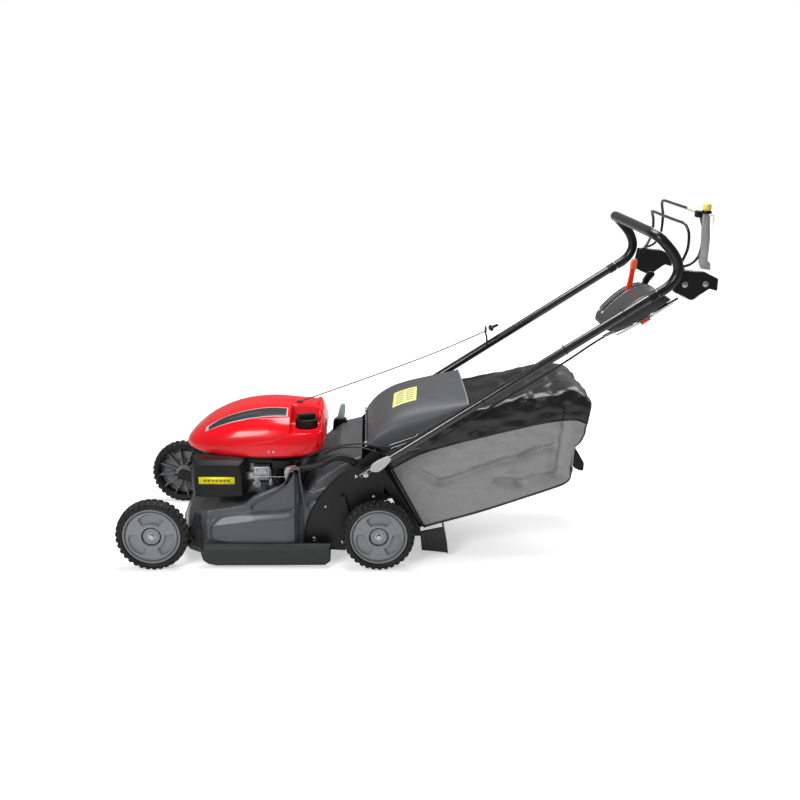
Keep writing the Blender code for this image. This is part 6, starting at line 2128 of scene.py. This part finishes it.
    def build(self, shop: Workshop) -> None:
        """Builds the whole handle."""
        self.tubes(shop)
        shop.fit(self.grip(), "grip_foam", "handle", "grip_loop")
        shop.fit(self.seams(), "black_plastic", "handle")
        self.brackets(shop)
        self.panel(shop)
        self.levers(shop)
        self.hoops(shop)
        self.cables(shop)
        self.starter(shop)
        self.lower_lines(shop)


ASSEMBLIES = [Wheels, Bag, EngineTop, EngineSide, Deck, Hood, RearFlap, Selector, Handle]


class Studio:
    """The floor, the lights and the camera."""

    def __init__(self) -> None:
        """Sets all three, and shows colours as they are."""
        bpy.context.scene.view_settings.view_transform = "Standard"
        self.lay_floor()
        self.hang_lights()
        self.place_camera()

    @staticmethod
    def lay_floor() -> None:
        """A plain pale floor that runs up into a plain background."""
        floor = surface("studio_floor", np.array([[(-9, -7, 0), (-9, 9, 0)], [(9, -7, 0), (9, 9, 0)]],
            float))
        paint = bpy.data.materials.new("floor")
        paint.use_nodes = True
        tree = paint.node_tree
        shader = tree.nodes["Principled BSDF"]
        shader.inputs["Base Color"].default_value = linear((0.93, 0.93, 0.93))
        shader.inputs["Roughness"].default_value = 0.8
        shader.inputs["Emission Color"].default_value = (1.0, 1.0, 1.0, 1.0)
        seen = node(tree, "LightPath").outputs["Is Camera Ray"]
        away = node(tree, "VectorMath", operation="LENGTH")
        put(tree, away.inputs[0], node(tree, "TexCoord").outputs["Object"])
        glow = ranged(tree, away.outputs["Value"], 1.0, 3.0, 0.50, 1.0)
        put(tree, shader.inputs["Emission Strength"], ranged(tree, seen, 0.0, 1.0, 0.10, glow))
        floor.data.materials.append(paint)
        floor.data.flip_normals()

    @staticmethod
    def hang_lights() -> None:
        """A pale surround and three soft area lights: a broad one above, one in front and one behind."""
        world = bpy.data.worlds.new("surround")
        world.use_nodes = True
        tree = world.node_tree
        back = tree.nodes["Background"]
        back.inputs["Color"].default_value = (1.0, 1.0, 1.0, 1.0)
        seen = node(tree, "LightPath").outputs["Is Camera Ray"]
        put(tree, back.inputs["Strength"], ranged(tree, seen, 0.0, 1.0, 0.24, 1.0))
        bpy.context.scene.world = world
        for name, place, size, power in (
            ("above", (-0.1, 0.2, 2.6), 1.3, 58.0),
            ("front", (-1.6, -2.6, 2.0), 1.1, 50.0),
            ("behind", (1.8, 1.8, 2.2), 1.4, 34.0),
        ):
            light = bpy.data.lights.new(name, "AREA")
            light.energy, light.size = power, size
            lamp = bpy.data.objects.new(name, light)
            lamp.location = place
            lamp.rotation_euler = (Vector((0.0, 0.0, 0.35)) - Vector(place)).to_track_quat("-Z",
                "Y").to_euler()
            bpy.context.scene.collection.objects.link(lamp)

    @staticmethod
    def place_camera() -> None:
        """The camera: its place, and its three directions from yaw, pitch and roll."""
        yaw, pitch, roll = (math.radians(angle) for angle in (-1.82, 16.02, 0.83))
        ahead = Vector((-math.sin(yaw) * math.cos(pitch), math.cos(yaw) * math.cos(pitch), -math.sin(pitch)))
        right = Vector((math.cos(yaw), math.sin(yaw), 0.0))
        up = right.cross(ahead)
        cos, sin = math.cos(roll), math.sin(roll)
        right, up = cos * right + sin * up, cos * up - sin * right
        lens = bpy.data.cameras.new("camera")
        lens.lens, lens.sensor_width = 46.48, 36.0
        camera = bpy.data.objects.new("camera", lens)
        turn = Matrix((right, up, -ahead)).transposed()
        camera.matrix_world = Matrix.Translation((-0.1170, -2.9858, 1.2841)) @ turn.to_4x4()
        bpy.context.scene.collection.objects.link(camera)
        bpy.context.scene.camera = camera


def clear_startup() -> None:
    """Removes Blender's own cube, light and camera."""
    for name in ("Cube", "Light", "Camera"):
        if name in bpy.data.objects:
            bpy.data.objects.remove(bpy.data.objects[name], do_unlink=True)


def main() -> None:
    """Builds the studio, then every sub-assembly, each on the bodies that carry it."""
    logging.basicConfig(level=logging.INFO, format="%(name)s: %(message)s")
    clear_startup()
    Studio()
    shop = Workshop()
    shop.dress_frame()
    for assembly in ASSEMBLIES:
        assembly().build(shop)


if __name__ == "__main__":
    main()
